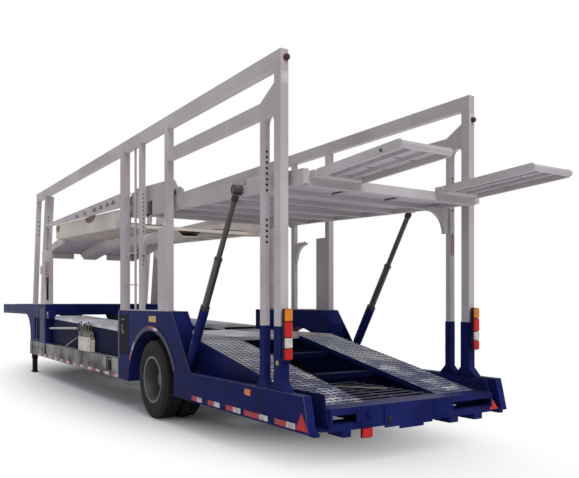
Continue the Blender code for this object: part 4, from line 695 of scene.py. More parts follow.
BACK = (0, -1, 0)
rear_posts = np.concatenate((2.073 + 0.052 * np.arange(5), 2.56 + 0.052 * np.arange(8)))
middle_posts = np.concatenate((2.02 + 0.055 * np.arange(5), 2.47 + 0.055 * np.arange(10)))
leaning, neck_posts = 2.62 + 0.062 * np.arange(11), 2.16 + 0.088 * np.arange(13)
rail_y = np.repeat(np.linspace(-1.2, 2.3, 8), 2) + np.tile((-0.035, 0.035), 8)
rows, deck_rows = [], []
for side, sign in SIDES:
    rows += [
        (spots(sign * 1.2425, -5.7102, rear_posts), BACK, 0.0135),
        (spots(sign * 1.235, -2.5002, middle_posts), BACK, 0.01),
        (spots(sign * 1.205, 2.9992 - (leaning - 2.56) / 1.09 * 0.23, leaning),
         (0, -1.09, -0.23), 0.014),
        (spots(sign * 1.248, 2.8536, 1.89 + 0.065 * np.arange(6)), BACK, 0.014),
        (spots(sign * 1.225, 3.529 + (3.65 - neck_posts) / 2.13 * 0.33, neck_posts),
         (0, -2.13, -0.33), 0.015),
        (spots(sign * 1.2622, rail_y, 3.068), (sign, 0, 0), 0.01)]
    deck_rows.append((spots(sign * 1.1502, (-5.86, -5.45, -4.55, -4.1, -2.2, -2.9),
                            (2.62, 2.66, 2.73, 2.7, 2.92, 2.82)), (sign, 0, 0), 0.008))
hole_pieces("pin_holes", "chassis", rows)
hole_pieces("rear_deck_holes", "rear_deck", deck_rows)

# %% [markdown]
# Lamps are moulded lenses in a black tray. A lens is a low block with ribs inside, which a
# wave bump stands for. Amber faces the side, and red, white and amber face the rear. They
# stand clear of the post on a short bracket, as lamps do so that their bulbs can be reached.


# %% Lamps and their lenses
def lamp_lens(name, colour, deep):
    """Coloured lens: fine ribs one way in the bump and the colour, darker where dust lies."""
    skin = Finish(name, IOR=1.3, Coat_Weight=0.15, Coat_Roughness=0.05)
    ribs = skin.place.node("ShaderNodeTexWave", {"bands_direction": "Z"},
                           {"Vector": skin.place, "Scale": 38.0})
    dirt = skin.place.noise(14.0, 4.0).between(0.4, 0.75)
    skin.feed("Base Color", (dirt * 0.6 + ribs * 0.25).mix(colour, deep))
    skin.feed("Roughness", dirt * 0.25 + 0.18)
    skin.bump(ribs, 0.25, 0.002)
    return skin.material


amber_lens = lamp_lens("amber_lens", (0.85, 0.25, 0.012), (0.55, 0.12, 0.01))
red_lens = lamp_lens("red_lens", (0.68, 0.01, 0.014), (0.4, 0.006, 0.01))
dark_lens = lamp_lens("dark_red_lens", (0.085, 0.016, 0.02), (0.03, 0.012, 0.014))
white_lens = lamp_lens("clear_lens", (0.72, 0.68, 0.68), (0.48, 0.44, 0.45))
yellow_lens = lamp_lens("side_marker_lens", (0.66, 0.42, 0.1), (0.45, 0.26, 0.06))

for side, sign in SIDES:
    put(f"tail_lamp_{side}_tray", boxes(
        sign, (1.19, -6.062, 0.985, 1.274, -6.022, 1.45, 0.006),
        *[(1.215, -6.03, z, 1.25, -6.004, z + 0.04, 0.003) for z in (1.05, 1.35)]), black_paint)
    for label, finish, z0, z1 in (("turn", amber_lens, 1.336, 1.446),
                                  ("stop", red_lens, 1.192, 1.33),
                                  ("reverse", white_lens, 1.094, 1.186),
                                  ("rear", red_lens, 0.99, 1.088)):
        put(f"tail_lamp_{side}_{label}", boxes(sign, (1.193, -6.082, z0, 1.272, -6.058, z1, 0.008)),
            finish)
    x, z = (1.215, 3.725) if sign < 0 else (1.248, 3.53)
    put(f"post_marker_{side}", turned([(0.03, 0.0), (0.03, 0.02), (0.024, 0.032), (0.0, 0.036)],
                                      (sign * x, -6.0002, z), BACK, 24), dark_lens)
    for name, finish, row in (
            ("post_plate", white_lens, (1.198, -6.0015, 3.494, 1.27, -5.9995, 3.602, 0.0005)),
            ("fender_marker", yellow_lens, (1.268, -3.03, 1.255, 1.276, -2.79, 1.335, 0.003)),
            ("beam_marker", amber_lens, (1.27, -5.455, 0.6, 1.277, -5.34, 0.662, 0.003))):
        put(f"{name}_{side}", boxes(sign, row), finish)
put("fog_lamp", boxes(1, (-0.668, -6.44, 0.286, -0.557, -6.402, 0.384, 0.012)), red_lens)
put("fog_lamp_tray", boxes(1, (-0.671, -6.406, 0.283, -0.554, -6.386, 0.389, 0.008),
                           (-0.632, -6.43, 0.372, -0.594, -6.39, 0.392, 0.004)), black_paint)

# %% [markdown]
# Red and white reflecting tape runs along the lower edges, so that the long low side is
# seen at night. Pairs of strips, red then white, with gaps between them, are thin plates;
# their beads are a fine cell pattern. A red triangle marks each rear corner.


# %% Tape and triangles
def reflector(name, colour, pale):
    """Tape full of small prisms: Voronoi cells tint and bump it."""
    skin = Finish(name, IOR=1.3)
    prism = skin.place.node("ShaderNodeTexVoronoi", None, {"Vector": skin.place, "Scale": 130.0},
                            out="Color").axis("X")
    dirt = skin.place.noise(10.0, 4.0).between(0.42, 0.7)
    skin.feed("Base Color", (dirt * 0.55).mix(prism.mix(colour, pale), (0.16, 0.14, 0.14)))
    skin.feed("Roughness", prism * 0.2 + dirt * 0.3 + 0.2)
    skin.bump(prism, 0.2, 0.0008)
    return skin.material


red_tape = reflector("red_reflecting_tape", (0.46, 0.015, 0.025), (0.66, 0.05, 0.06))
white_tape = reflector("white_reflecting_tape", (0.6, 0.57, 0.58), (0.78, 0.75, 0.75))
ARCH_Y, ARCH_Z = -2.84, 0.31
FACE, TAPE, TAPE_RADIUS = 1.2745, 1.2758, 0.868
pairs = [(y, 0.398, 0.052, red, white) for y, red, white in (
    (-4.25, 0.13, 0.125), (-4.67, 0.14, 0.135), (-5.1, 0.15, 0.155), (-5.62, 0.29, 0.155),
    (-6.09, 0.19, 0.145))]
pairs += [(y, 0.418, 0.042, 0.11, 0.19) for y in np.arange(-1.4, 3.5, 0.44)]
for side, sign in SIDES:
    strip = boxes(sign, (FACE, -0.07, -0.018, TAPE, 0.07, 0.018, 0.0004))
    for name, finish, shift, rows in (
            ("red", red_tape, -0.075, [(FACE, y, z, TAPE, y + red, z + high, 0.0004)
                                       for y, z, high, red, white in pairs]),
            ("white", white_tape, 0.075, [(FACE, y - white - 0.003, z, TAPE, y - 0.003, z + high,
                                           0.0004) for y, z, high, red, white in pairs])):
        tapes = [boxes(sign, *rows)]
        for turn in (math.radians(38.0), math.radians(96.0)):
            way = np.array([0.0, -math.sin(turn), math.cos(turn)])
            place = np.array([0.0, ARCH_Y, ARCH_Z]) + way * shift
            place += TAPE_RADIUS * np.array([0.0, way[2], -way[1]])
            tapes.append(copies(strip, place, [[1, 0, 0], [0, way[1], -way[2]],
                                               [0, way[2], way[1]]]))
        put(f"{name}_tape_{side}", gather(*tapes), finish)
put("triangle_left", plate([(-6.434, 0.402), (-6.238, 0.402), (-6.34, 0.556)], -1.2765, -FACE),
    red_lens)
slope = np.array([(x, -6.445 + (z - 0.38) * 0.25, z)
                  for x, z in ((1.0, 0.402), (1.128, 0.402), (1.064, 0.516))])
put("triangle_right", capped(np.stack([slope - (0, depth, 0) for depth in (0.006, 0.001)])),
    red_lens)

# %% [markdown]
# The long lockers have drop-down doors: a raised panel each, two hinges below and a latch
# above. The photograph also shows two dark gaps in their face and four oval openings in the
# skirt near the leg, where a hand or a hook reaches in.

# %% Locker doors
DOOR = 1.3467
panels, hardware = [], []
for first in 2.96 - DOOR * np.arange(4):
    y1, y0 = first - 0.02, max(first - DOOR + 0.04, -1.555)
    panels += [(FACE, a, c, 1.2767, b, d, 0.0008) for a, b, c, d in (
        (y0, y1, 0.655, 0.668), (y0, y1, 0.474, 0.487), (y0, y0 + 0.013, 0.474, 0.668),
        (y1 - 0.013, y1, 0.474, 0.668))]
    hardware += [(FACE, y - half, z0, 1.2767, y + half, z1, 0.001) for y, half, z0, z1 in (
        (y0 + (y1 - y0) * 0.18, 0.03, 0.462, 0.492), (y0 + (y1 - y0) * 0.82, 0.03, 0.462, 0.492),
        ((y0 + y1) / 2, 0.045, 0.606, 0.642))]
turn = np.linspace(0, 2 * math.pi, 20, endpoint=False)
oval = np.column_stack((0.036 * np.cos(turn), 0.56 + 0.052 * np.sin(turn)))
for side, sign in SIDES:
    put(f"door_panels_{side}", boxes(sign, *panels), silver_paint)
    put(f"door_hardware_{side}", boxes(sign, *hardware), bolt_steel)
    # The gaps and oval openings are dark plates: painted shade where they open.
    gaps = boxes(sign, (FACE, -1.3, 0.475, 1.2757, -1.03, 0.688, 0.0004),
                 (FACE, 2.77, 0.415, 1.2757, 2.94, 0.688, 0.0004))
    ovals = [plate(oval + (y, 0), sign * FACE, sign * 1.2757) for y in (3.11, 3.46, 3.79, 4.03)]
    put(f"locker_gaps_{side}", gather(gaps, *ovals), painted_shade_gap)

# %% [markdown]
# Behind the gooseneck's end, on the left, sit a junction box for the lamps' wiring and a
# pale tube. Further back stands the valve bank that works the hydraulic cylinders: a steel
# stand with a row of valve blocks, each with its lever, and hoses that arch away inside.

# %% Valve bank and junction box
hose_rubber = mottled("hose_rubber", 30.0, (0.015, 0.015, 0.016), (0.05, 0.048, 0.046),
                      Roughness=0.6)
put("junction_box", boxes(1, (-1.262, 2.56, 1.185, -1.135, 2.846, 1.345, 0.006),
                          (-1.268, 2.575, 1.195, -1.26, 2.83, 1.335, 0.003)), navy_paint)
put("junction_box_tags", boxes(1, (-1.2705, 2.68, 1.275, -1.2675, 2.73, 1.315, 0.001),
                               (-1.2705, 2.69, 1.215, -1.2675, 2.72, 1.235, 0.001)), white_lens)
put("pale_tube", tube([(-1.185, 2.846, 0.995), (-1.185, 1.9, 1.025), (-1.185, 0.92, 1.055)],
                      0.021, 14), white_paint, smooth=60)
put("valve_stand", boxes(1, (-1.25, -0.12, 0.6905, -1.238, 0.55, 0.925, 0.003),
                         (-1.255, -0.12, 0.6905, -1.17, -0.095, 0.9, 0.003),
                         (-1.255, 0.53, 0.6905, -1.17, 0.555, 0.9, 0.003),
                         (-1.258, -0.1, 0.917, -1.17, 0.54, 0.929, 0.002),
                         (-1.2, 0.51, 0.7, -1.165, 0.59, 1.155, 0.004)), cream_paint)
# The ports are dark discs: painted shade in their openings.
ports = spots(-1.2503, (-0.03, 0.12, 0.27, 0.42, 0.05, 0.33, 0.47, -0.06),
              (0.88, 0.86, 0.885, 0.87, 0.76, 0.77, 0.74, 0.79))
put("valve_stand_ports", copies(turned([(0.015, 0.0), (0.0, 0.0005)], steps=12), ports,
                                looking((-1, 0, 0))), painted_shade_gap)
valve_y = np.linspace(-0.06, 0.5, 5)
valve = gather(boxes(1, (-0.04, -0.045, 0.0, 0.03, 0.045, 0.085, 0.005)),
               turned([(0.018, 0.085), (0.018, 0.1), (0.013, 0.103), (0.013, 0.118),
                       (0.0, 0.118)], steps=12),
               turned([(0.014, 0.0), (0.014, 0.018), (0.01, 0.02), (0.0, 0.02)],
                      (-0.03, 0.0, 0.045), (-1, 0, 0), 10))
put("valve_blocks", copies(valve, spots(-1.21, valve_y, 0.9285)), bolt_steel)
levers, knobs, hoses = [], [], []
for i, y in enumerate(valve_y):
    tip = np.array([-1.252, y + 0.02 * (i % 2), 1.175 - 0.02 * (i % 3)])
    levers.append(tube(rounded_path([(-1.235, y, 0.975), (-1.262, y, 1.03), tip], 5), 0.0055, 8))
    knobs.append(turned([(0.0, -0.016), (0.011, -0.012), (0.016, 0.0), (0.011, 0.012),
                         (0.0, 0.016)], tip, steps=14))
    hoses.append(tube(rounded_path([(-1.21, y, 1.045), (-1.205, y + 0.02, 1.115),
                                    (-1.192, y + 0.1, 1.135 - 0.01 * i),
                                    (-1.178, y + 0.2, 1.06), (-1.166, y + 0.24, 0.96)], 6),
                      0.0105, 8))
levers.append(tube([(-1.262, 0.6, 0.905), (-1.262, 1.32, 0.722)], 0.011, 10))
for name, shapes, finish in (("levers", levers, bolt_steel), ("knobs", knobs, black_paint),
                             ("hoses", hoses, hose_rubber)):
    put(f"valve_{name}", gather(*shapes), finish, smooth=60)

# %% [markdown]
# The tail is where cars come aboard, so it takes the knocks. A plate stiffens the middle of
# the cross beam, a round socket takes the trailer's rear lead, and slats let water out of
# the well between the ramps. Bolt heads fix each plate, as six-sided copies of one shape.

# %% Tail plates, socket and well slats
# A lighter navy: road dust, and a painted highlight on the edge beads and well slats.
dusty_and_highlight_navy = painted_steel("dusty_and_highlight_navy_paint", (0.075, 0.068, 0.11), (0.13, 0.118, 0.155),
                           (0.14, 0.13, 0.16), (0.05, 0.04, 0.05), roughness=0.5, under_shade_and_dirt_amount=0.5,
                           index=1.2)
bolt_head = turned([(0.0, 0.0), (0.0115, 0.0), (0.0115, 0.006), (0.009, 0.008), (0.0, 0.008)],
                   steps=6)
put("tail_plates", boxes(1, (-0.434, -6.454, 0.362, 0.177, -6.4398, 0.572, 0.005),
                         (-0.25, -6.453, 0.336, 0.06, -6.4398, 0.37, 0.004),
                         (-0.762, -6.45, 0.405, -0.452, -6.4398, 0.566, 0.004),
                         (0.195, -6.448, 0.405, 0.405, -6.4398, 0.566, 0.003),
                         (-1.215, -6.442, 0.352, -1.155, -6.33, 0.384, 0.004),
                         (1.155, -6.442, 0.352, 1.215, -6.33, 0.384, 0.004)), navy_paint)
put("tail_socket_cover",
    turned([(0.0, 0.002), (0.042, 0.002), (0.042, 0.012), (0.034, 0.016), (0.033, 0.03),
            (0.028, 0.034), (0.0, 0.035)], (-0.61, -6.45, 0.5), BACK, 28), navy_paint)
put("tail_socket", turned([(0.0, 0.0), (0.026, 0.0), (0.026, 0.016), (0.0, 0.017)],
                          (-0.38, -6.4535, 0.44), BACK, 20), black_paint)
plate_bolts = spots((-0.4, -0.4, 0.145, 0.145, 0.215, 0.385, 0.215, 0.385, -0.74, -0.74),
                    (-6.4536,) * 4 + (-6.4476,) * 4 + (-6.4496,) * 2,
                    (0.385, 0.548) * 2 + (0.425, 0.425, 0.546, 0.546, 0.425, 0.546))
put("tail_bolts", copies(bolt_head, plate_bolts, looking(BACK)), navy_paint)
bearers = [(x - 0.005, -6.205, 0.556, x + 0.005, -4.92, 0.569, 0.002) for x in (-0.46, 0.0, 0.46)]
# The slats take the lighter navy: dust, and a painted highlight on their tops.
put("well_slats", boxes(1, *[(-0.4745, y - 0.01, 0.567, 0.4745, y + 0.01, 0.577, 0.002)
                             for y in np.arange(-6.18, -4.88, 0.157)], *bearers), dusty_and_highlight_navy)
put("well_bar", tube([(-0.24, -5.02, 0.588), (0.0, -5.35, 0.588), (0.26, -5.7, 0.588)], 0.011),
    bolt_steel, smooth=60)

# %% [markdown]
# Sheet steel has no knife edges: a folded or welded edge is round and catches the light,
# and that thin bright line makes a dark box readable. Thin round beads along the long edges
# do this, and they cost far less than bevelling every solid. The long beads on the navy take
# a lighter navy, partly dust and partly a painted highlight. The wheel arch has a rolled
# flare that road dust turns lilac grey: a band between two arcs, a hair thicker than the
# solid's own. The box in front of it has an open recess with a hook inside, which is a dark
# panel in a narrow frame; the panel's dark is painted shade.


# %% Edge beads, arch flare and recess
def arc(radius, first, last, count):
    """Places round the arch's centre, from first to last degrees, as y and z."""
    turn = np.radians(np.linspace(first, last, count))
    return ARCH_Y + radius * np.cos(turn), ARCH_Z + radius * np.sin(turn)


for side, sign in SIDES:
    beads = [tube(spots(sign * x, y, z), 0.0028, 8) for x, y, z in (
        (1.2735, (-6.36, -5.0, -4.09), 0.6995), (1.2735, (-6.438, -6.4, -6.362),
                                                 (0.384, 0.545, 0.698)),
        (1.2675, (-4.068, -3.8, -3.522), (0.704, 1.044, 1.397)),
        (1.2675, (-3.52, -2.5, -1.582), 1.399), (1.2735, (2.852, 5.0, 7.348), 1.479),
        (1.2735, (4.68, 6.0, 7.348), 1.261))]
    put(f"edge_beads_{side}", gather(*beads), dusty_and_highlight_navy, smooth=60)
    put(f"locker_bead_{side}", tube(spots(sign * 1.2735, (-1.576, 1.0, 4.248), 0.6895), 0.0028, 8),
        silver_paint, smooth=60)
    put(f"arch_beads_{side}", gather(*[tube(spots(sign * 1.2735, *arc(r, 28.5, 152.0, 60)), 0.003,
                                            8) for r in (0.897, 0.833)]), navy_paint, smooth=60)
    ring = np.stack([spots(sign * x, *arc(r, 26.5, 154.0, 49)) for x, r in (
        (1.2735, 0.832), (1.2753, 0.832), (1.2753, 0.897), (1.2735, 0.897))], 1)
    put(f"arch_flare_{side}", capped(ring), dusty_and_highlight_navy)
    for name, finish, rows in (
            ("fender_recess", painted_shade_gap, [(1.2702, -1.99, 0.78, -1.655, 1.335, 0.0006)]),
            ("recess_frame", navy_paint, [(1.2735, -2.0, 1.335, -1.645, 1.347, 0.001),
                                          (1.2735, -2.0, 0.768, -1.645, 0.78, 0.001),
                                          (1.2735, -2.0, 0.768, -1.99, 1.347, 0.001),
                                          (1.2735, -1.655, 0.768, -1.645, 1.347, 0.001)]),
            ("recess_flange", dusty_and_highlight_navy, [(1.2755, -1.64, 0.7, -1.584, 1.385, 0.0008)]),
            ("recess_hook", bolt_steel, [(1.2735, -1.76, 1.06, -1.735, 1.2, 0.001),
                                         (1.2735, -1.83, 1.07, -1.805, 1.11, 0.001),
                                         (1.2735, -1.83, 1.26, -1.74, 1.275, 0.001)])):
        put(f"{name}_{side}", boxes(sign, *[(1.2685, y0, z0, x, y1, z1, edge)
                                            for x, y0, z0, y1, z1, edge in rows]), finish)

# %% [markdown]
# Small fixings tell the eye how big a thing is. Bolts hold the post feet and the hinge
# plates, white rivets run along the gooseneck's lower edge, and a tag hangs on a post.
# Web plates close the step behind the gooseneck, so that no daylight shows through it.

# %% Fixings on posts and gooseneck
BOLT_X = 1.269
rivet = turned([(0.011, 0.0), (0.01, 0.003), (0.006, 0.0045), (0.0, 0.005)], steps=10)
hexagon = np.arange(6) * math.pi / 3
for side, sign in SIDES:
    way = looking((sign, 0, 0))
    put(f"neck_rivets_{side}", copies(rivet, spots(sign * 1.2722, np.arange(4.86, 7.3, 0.165),
                                                   1.292), way), white_lens)
    put(f"step_web_{side}", boxes(sign, (1.146, 2.832, 0.692, 1.266, 2.8497, 1.262, 0.002),
                                  (1.18, 2.2, 0.691, 1.262, 2.832, 0.705, 0.002)), navy_paint)
    feet = spots(sign * BOLT_X, np.repeat((-5.985, -5.905, -5.7, -5.65), 2), (1.262, 0.84) * 4)
    hinge = spots(sign * BOLT_X, -1.755 + 0.055 * np.cos(hexagon), 2.85 + 0.055 * np.sin(hexagon))
    rail = spots(sign * BOLT_X, (-5.97, -5.92, -3.39, -3.34, -1.8, -1.72, 3.55), 3.68)
    put(f"post_foot_bolts_{side}", copies(bolt_head, feet, way), navy_paint)
    put(f"post_bolts_{side}", copies(bolt_head, np.concatenate((hinge, rail)), way), white_paint)
tag_metal = painted_steel("yellow_tag_paint", (0.45, 0.43, 0.06), (0.3, 0.33, 0.08),
                          (0.35, 0.33, 0.2), (0.1, 0.1, 0.05))
put("post_tag", turned([(0.0, 0.0), (0.024, 0.0), (0.024, 0.0012), (0.018, 0.0016),
                        (0.0, 0.0016)], (-FACE, -5.945, 0.956), (-1, 0, 0), 24), tag_metal)

# %% [markdown]
# Each lift cylinder is three tubes that slide in each other. At every mouth sits a gland
# nut with flats, and a hose clip runs up the barrel. They belong to three bodies, so each
# gland rides with its own tube. All of them are turned about the cylinder's sloping axis.

# %% Cylinder glands, sleeves and eyes
CYLINDER_X, EYE_X, EYE_Y, EYE_Z = 1.207, 1.2518, -5.07, 2.66
foot = np.array([-3.78, 0.57])
reach = np.array([EYE_Y, EYE_Z]) - foot
reach_length = float(np.linalg.norm(reach))
slope_y, slope_z = reach / reach_length
eye_paint = painted_steel("greasy_black_paint", (0.02, 0.02, 0.024), (0.045, 0.043, 0.045),
                          (0.07, 0.07, 0.07), (0.03, 0.03, 0.03), roughness=0.35)


def on_axis(x, along, fore=0.0):
    """Places along the cylinder's axis, moved fore square to it."""
    along = np.asarray(along, float)
    return spots(x, foot[0] + slope_y * along + slope_z * fore,
                 foot[1] + slope_z * along - slope_y * fore)


turn = np.linspace(0, 2 * math.pi, 32, endpoint=False)
for side, sign in SIDES:
    def collar(profile, along, steps):
        return turned(profile, on_axis(sign * CYLINDER_X, [along])[0], (0.0, slope_y, slope_z), steps)
    gland = collar([(0.0426, -0.001), (0.06, -0.001), (0.06, 0.03), (0.056, 0.036),
                    (0.0426, 0.036)], 1.012, 6)
    band = collar([(0.0482, 0.0), (0.052, 0.001), (0.052, 0.019), (0.0482, 0.02)], 0.55, 28)
    put(f"barrel_gland_{side}", gather(gland, band), eye_paint, f"barrel_{side}")
    sleeve = np.stack([on_axis(sign * CYLINDER_X + wide * np.cos(turn), along, fore * np.sin(turn))
                       for along, wide, fore in (
                           (0.44, 0.0485, 0.0485), (0.5, 0.0505, 0.063), (1.0, 0.0505, 0.063),
                           (1.004, 0.05, 0.058), (1.004, 0.0485, 0.0485))])
    put(f"barrel_sleeve_{side}", grid(sleeve, round_u=True, round_v=True), navy_paint,
        f"barrel_{side}")
    put(f"barrel_pipe_{side}", tube(on_axis(sign * 1.205, (0.16, 0.5, 0.93), 0.056),
                                    0.0075, 8), eye_paint, f"barrel_{side}", smooth=60)
    put(f"stage_gland_{side}", collar([(0.032, 0.0), (0.049, 0.0), (0.049, 0.022),
                                       (0.045, 0.027), (0.032, 0.027)], 1.634, 6),
        eye_paint, f"stage_{side}")
    eye_ring = turned([(0.0325, 0.0), (0.0525, 0.0), (0.0525, 0.005), (0.048, 0.0075),
                       (0.0325, 0.0075)], (sign * EYE_X, EYE_Y, EYE_Z), (sign, 0, 0), 28)
    neck = collar([(0.0312, 0.0), (0.04, 0.002), (0.04, 0.05), (0.034, 0.06),
                   (0.0312, 0.06)], reach_length - 0.125, 28)
    put(f"rod_collar_{side}", gather(neck, eye_ring), eye_paint, f"rod_{side}")

# %% [markdown]
# On the decks, round openings with worn rims sit where pins or straps go. The photograph
# shows a dark round pin in each cheek plate, a plate near the hinge, half-round notches in
# the front deck's edge, and hooks with a quarter-round web under the far side and the posts.

# %% Deck fittings
shadow_tan = painted_steel("shaded_tan_paint", (0.26, 0.2, 0.165), (0.18, 0.135, 0.115),
                           (0.3, 0.25, 0.22), (0.16, 0.12, 0.1), roughness=0.7)
PEG = [(0.014, 0.0), (0.014, 0.01), (0.009, 0.014), (0.0, 0.014)]
half_turn = np.linspace(math.pi, 2 * math.pi, 21)
stations = np.linspace(0.0, 1.0, 13)
first_half = stations < 0.5
bend = math.pi / 2 * stations
fittings, pins, wear, notches = [], [], [], []
for side, sign in SIDES:
    way, cheek = (sign, 0, 0), (sign * 1.164, -3.415, 2.865)
    fittings += [turned([(0.042, 0.0), (0.042, 0.004), (0.034, 0.007), (0.034, 0.003)], cheek,
                        way, 24),
                 boxes(sign, *[(1.1495, y, rear_deck_z(y) - 0.045, 1.1525, y + 0.012,
                                rear_deck_z(y) + 0.1, 0.001) for y in (-5.2, -4.5)])]
    pins += [turned([(0.033, 0.0), (0.033, 0.004), (0.022, 0.009), (0.0, 0.01)], cheek, way, 24),
             boxes(sign, (1.1495, -2.6, 2.69, 1.154, -2.44, 2.88, 0.002)),
             turned([(0.022, 0.0), (0.022, 0.012), (0.014, 0.017), (0.0, 0.017)],
                    (sign * 1.1535, -2.46, 2.69), way, 16)]
    wear.append(boxes(sign, (1.1495, -5.15, 2.706, 1.153, -4.88, 2.786, 0.001)))
    notches += [plate(np.column_stack((y + wide * np.cos(half_turn), z + deep * np.sin(half_turn))),
                      sign * 1.1495, sign * 1.1512)
                for y, z, wide, deep in ((2.34, 3.01, 0.13, 0.12), (0.21, 2.975, 0.31, 0.115))]
    arm = (np.where(first_half, -2.499, -2.499 - 0.562 * (stations - 0.5)),
           np.where(first_half, 2.15 + 0.54 * stations, 2.42))
    web = (-2.78 + 0.25 * np.cos(bend), 2.15 + 0.235 * np.sin(bend))
    put(f"deck_rest_{side}", capped(np.stack([spots(sign * x, *path) for x, path in (
        (1.208, arm), (1.262, arm), (1.262, web), (1.208, web))], 1)), white_paint)
    put(f"deck_rest_pins_{side}", gather(*[turned(PEG, (sign * 1.235, y, 2.4195), steps=12)
                                           for y in (-2.6, -2.67, -2.74)]), eye_paint)
    put(f"flap_knob_{side}", turned([(0.012, 0.0), (0.012, 0.012), (0.008, 0.018), (0.0, 0.018)],
                                    (sign * 1.0598, -7.12, 2.686), way, 12),
        eye_paint, f"flap_{side}")
put("rod_wear_plates", gather(*wear), bolt_steel, "rear_deck")
put("rear_deck_fittings", gather(*fittings), white_paint, "rear_deck")
put("rear_deck_pins", gather(*pins), eye_paint, "rear_deck")
put("front_deck_notches", gather(*notches), shadow_tan, "front_deck")
corner_x = np.where(first_half, 0.87 + 0.6 * stations, 1.17)
corner_z = np.where(first_half, 2.5765, 2.5765 - 0.573 * (stations - 0.5))
web_x, web_z = 0.87 + 0.245 * np.sin(bend), 2.29 + 0.245 * np.cos(bend)
put("support_hook", capped(np.stack([spots(x, y, z) for x, y, z in (
    (corner_x, -5.702, corner_z), (corner_x, -5.662, corner_z), (web_x, -5.662, web_z),
    (web_x, -5.702, web_z))], 1)), white_paint, "rear_deck")

# %% [markdown]
# Under the chassis, U-bolts clamp the springs to the axle, brake chambers push the brakes,
# and an air tank feeds them. Nobody sees them in the photograph, but they show from below
# and from the side. The legs have a gearbox, a crank and a shaft that joins the two.

# %% Running gear and legs
u_bolts, chambers = [], []
legs = [tube([(-1.14, 4.144, 0.56), (0.0, 4.144, 0.56), (1.14, 4.144, 0.56)], 0.017)]
for side, sign in SIDES:
    middle = sign * 0.53
    around = middle + np.array([-1, -1, -1, 0, 1, 1, 1]) * 0.046
    drop = (0.755, 0.6, 0.455, 0.418, 0.455, 0.6, 0.755)
    u_bolts += [tube(rounded_path(spots(around, y, drop), 5), 0.009, 8)
                for y in (AXLE_Y - 0.055, AXLE_Y + 0.055)]
    u_bolts.append(boxes(1, (middle - 0.06, -2.955, 0.726, middle + 0.06, -2.785, 0.742, 0.003)))
    chambers += [turned([(0.0, 0.0), (0.074, 0.002), (0.08, 0.01), (0.08, 0.05),
                         (0.086, 0.056), (0.086, 0.07), (0.08, 0.076), (0.08, 0.13),
                         (0.066, 0.145), (0.0, 0.148)], (sign * 0.32, -3.02, 0.535),
                        (0, -1, 0.1), 28),
                 tube([(sign * 0.32, -2.93, 0.53), (sign * 0.32, -3.03, 0.535)], 0.012, 8)]
    legs.append(boxes(sign, (1.135, 4.079, 0.48, 1.255, 4.209, 0.63, 0.006),
                      (1.148, 4.09, 0.295, 1.242, 4.198, 0.309, 0.003),
                      (1.145, 4.08, 0.02, 1.245, 4.208, 0.045, 0.004)))
put("axle_u_bolts", gather(*u_bolts), bolt_steel, smooth=60)
put("brake_chambers", gather(*chambers), black_paint)
tank = turned([(0.0, 0.0), (0.07, 0.008), (0.118, 0.04), (0.13, 0.08), (0.13, 0.62),
               (0.118, 0.66), (0.07, 0.692), (0.0, 0.7)], (0.0, -0.1, 0.84), BACK, 36)
straps = [turned([(0.1305, 0.0), (0.1335, 0.0), (0.1335, 0.03), (0.1305, 0.03)],
                 (0.0, y, 0.84), BACK, 36) for y in (-0.22, -0.62)]
hangers = boxes(1, *[(-0.48, y - 0.03, 0.966, 0.48, y, 0.978, 0.002) for y in (-0.22, -0.62)])
put("air_tank", gather(tank, *straps, hangers), black_paint)
put("leg_gearboxes", gather(*legs), black_paint)

# %% [markdown]
# The neck posts carry the marks of use: a rusty wear patch where the pin is pushed in, a
# long dark slot and a lug. Rungs join the middle posts, hooks for straps line the wedge
# strip, and grip strips cross the tail flaps. Each is small, but they break up plain faces.


# %% Wear patches, rungs, hooks and flap grips
def flap_z(y, height):
    """Height above the flap's own sloping middle line."""
    return 2.65 + (y + 6.25) / -1.07 * 0.05 + height


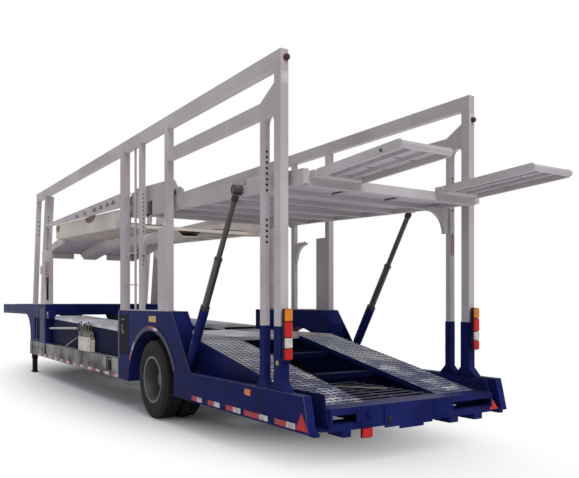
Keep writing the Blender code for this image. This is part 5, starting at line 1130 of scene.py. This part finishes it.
rusty_patch = painted_steel("worn_pin_patch", (0.36, 0.19, 0.15), (0.48, 0.34, 0.29),
                            (0.45, 0.36, 0.32), (0.22, 0.13, 0.11), roughness=0.7)
bow = np.linspace(0, math.pi, 9)
patches = [boxes(1, (1.213, -5.7112, 2.045, 1.2725, -5.7098, 2.27, 0.0004))]
slots, lugs = [], []
for side, sign in SIDES:
    # The post slot is a dark plate: painted shade in the slot.
    slots.append(boxes(sign, (1.252, 2.8536, 1.56, 1.21, 2.8552, 2.03, 0.0004)))
    patches.append(boxes(sign, (1.2735, 2.8542, 1.868, 1.196, 2.8552, 2.333, 0.0004)))
    lugs.append(boxes(sign, (1.195, 3.12, 2.1, 1.272, 3.31, 2.27, 0.004)))
    lugs += [tube(spots(sign * 1.235, (-1.82, -2.0, -2.27), z), 0.008, 8)
             for z in (3.034, 2.6, 2.197, 1.758)]
    put(f"neck_gusset_{side}", boxes(sign, (1.2748, 2.93, 0.7, 1.2758, 3.29, 1.39, 0.0004),
                                     (1.2748, 3.6, 0.7, 1.2758, 3.66, 1.44, 0.0004)),
        dusty_and_highlight_navy)
    hooks = [plate(np.column_stack((y + 0.085 * np.cos(bow), 2.975 + 0.058 * np.sin(bow))),
                   sign * 1.2605, sign * 1.268) for y in (0.6, 0.12, -0.4, -0.75, -1.05, -1.33)]
    put(f"strap_hooks_{side}", gather(*hooks), shadow_tan)
    strips = [capped(np.stack([spots(sign * x, y + np.array([-0.01, -0.006, 0.006, 0.01]),
                                     flap_z(y, 0.0258) + np.array([0.0, 0.005, 0.005, 0.0]))
                               for x in (0.545, 1.025)])) for y in -6.34 - 0.072 * np.arange(13)]
    put(f"flap_grips_{side}", gather(*strips), white_paint, f"flap_{side}")
    put(f"flap_seams_{side}", boxes(sign, *[(0.545, y - 0.004, flap_z(y, 0.0105), 1.025, y + 0.004,
                                             flap_z(y, 0.0135), 0.0008) for y in (-6.6, -6.95)]),
        dark_seam, f"flap_{side}")
put("post_slots", gather(*slots), painted_shade_gap)
put("pin_patches", gather(*patches), rusty_patch)
put("post_lugs", gather(*lugs), white_paint)

# %% [markdown]
# A welder leaves a bead where posts meet rails. A weld is a thin rope of overlapping drops,
# so it is a tube whose radius swells and shrinks along its path. They close round each post
# just under the top rail, and round the feet of the posts on the fender box.


# %% Weld beads
def weld_bead(start, end, radius=0.0035, drop=0.012):
    """A straight tube, its radius r·(1 + 0.25·sin) once for each drop."""
    start, end = np.array(start), np.array(end)
    count = max(int(np.linalg.norm(end - start) / drop * 3), 2)
    swell = 1 + 0.25 * np.sin((np.arange(count) + 1) * 2 * math.pi / 3)
    run = start + (end - start) * np.linspace(0, 1, count)[:, None]
    return tube(run, radius * swell, 6)


beads = []
for side, sign in SIDES:
    inner, outer = sign * 1.192, sign * 1.2725
    for y0, y1, z in ((-6.0, -5.89, 3.6495), (-3.41, -3.32, 3.6495), (-1.835, -1.68, 3.6495),
                      (-3.41, -3.32, 1.4135), (-1.835, -1.68, 1.4135)):
        beads += [weld_bead((inner, y, z), (outer, y, z)) for y in (y0, y1)]
        if z > 2:
            beads.append(weld_bead((outer, y0, z), (outer, y1, z)))
    beads += [weld_bead((outer, y, 3.252), (outer, y, 3.383)) for y in (-5.64, -3.412)]
put("post_welds", gather(*beads), white_paint, smooth=60)
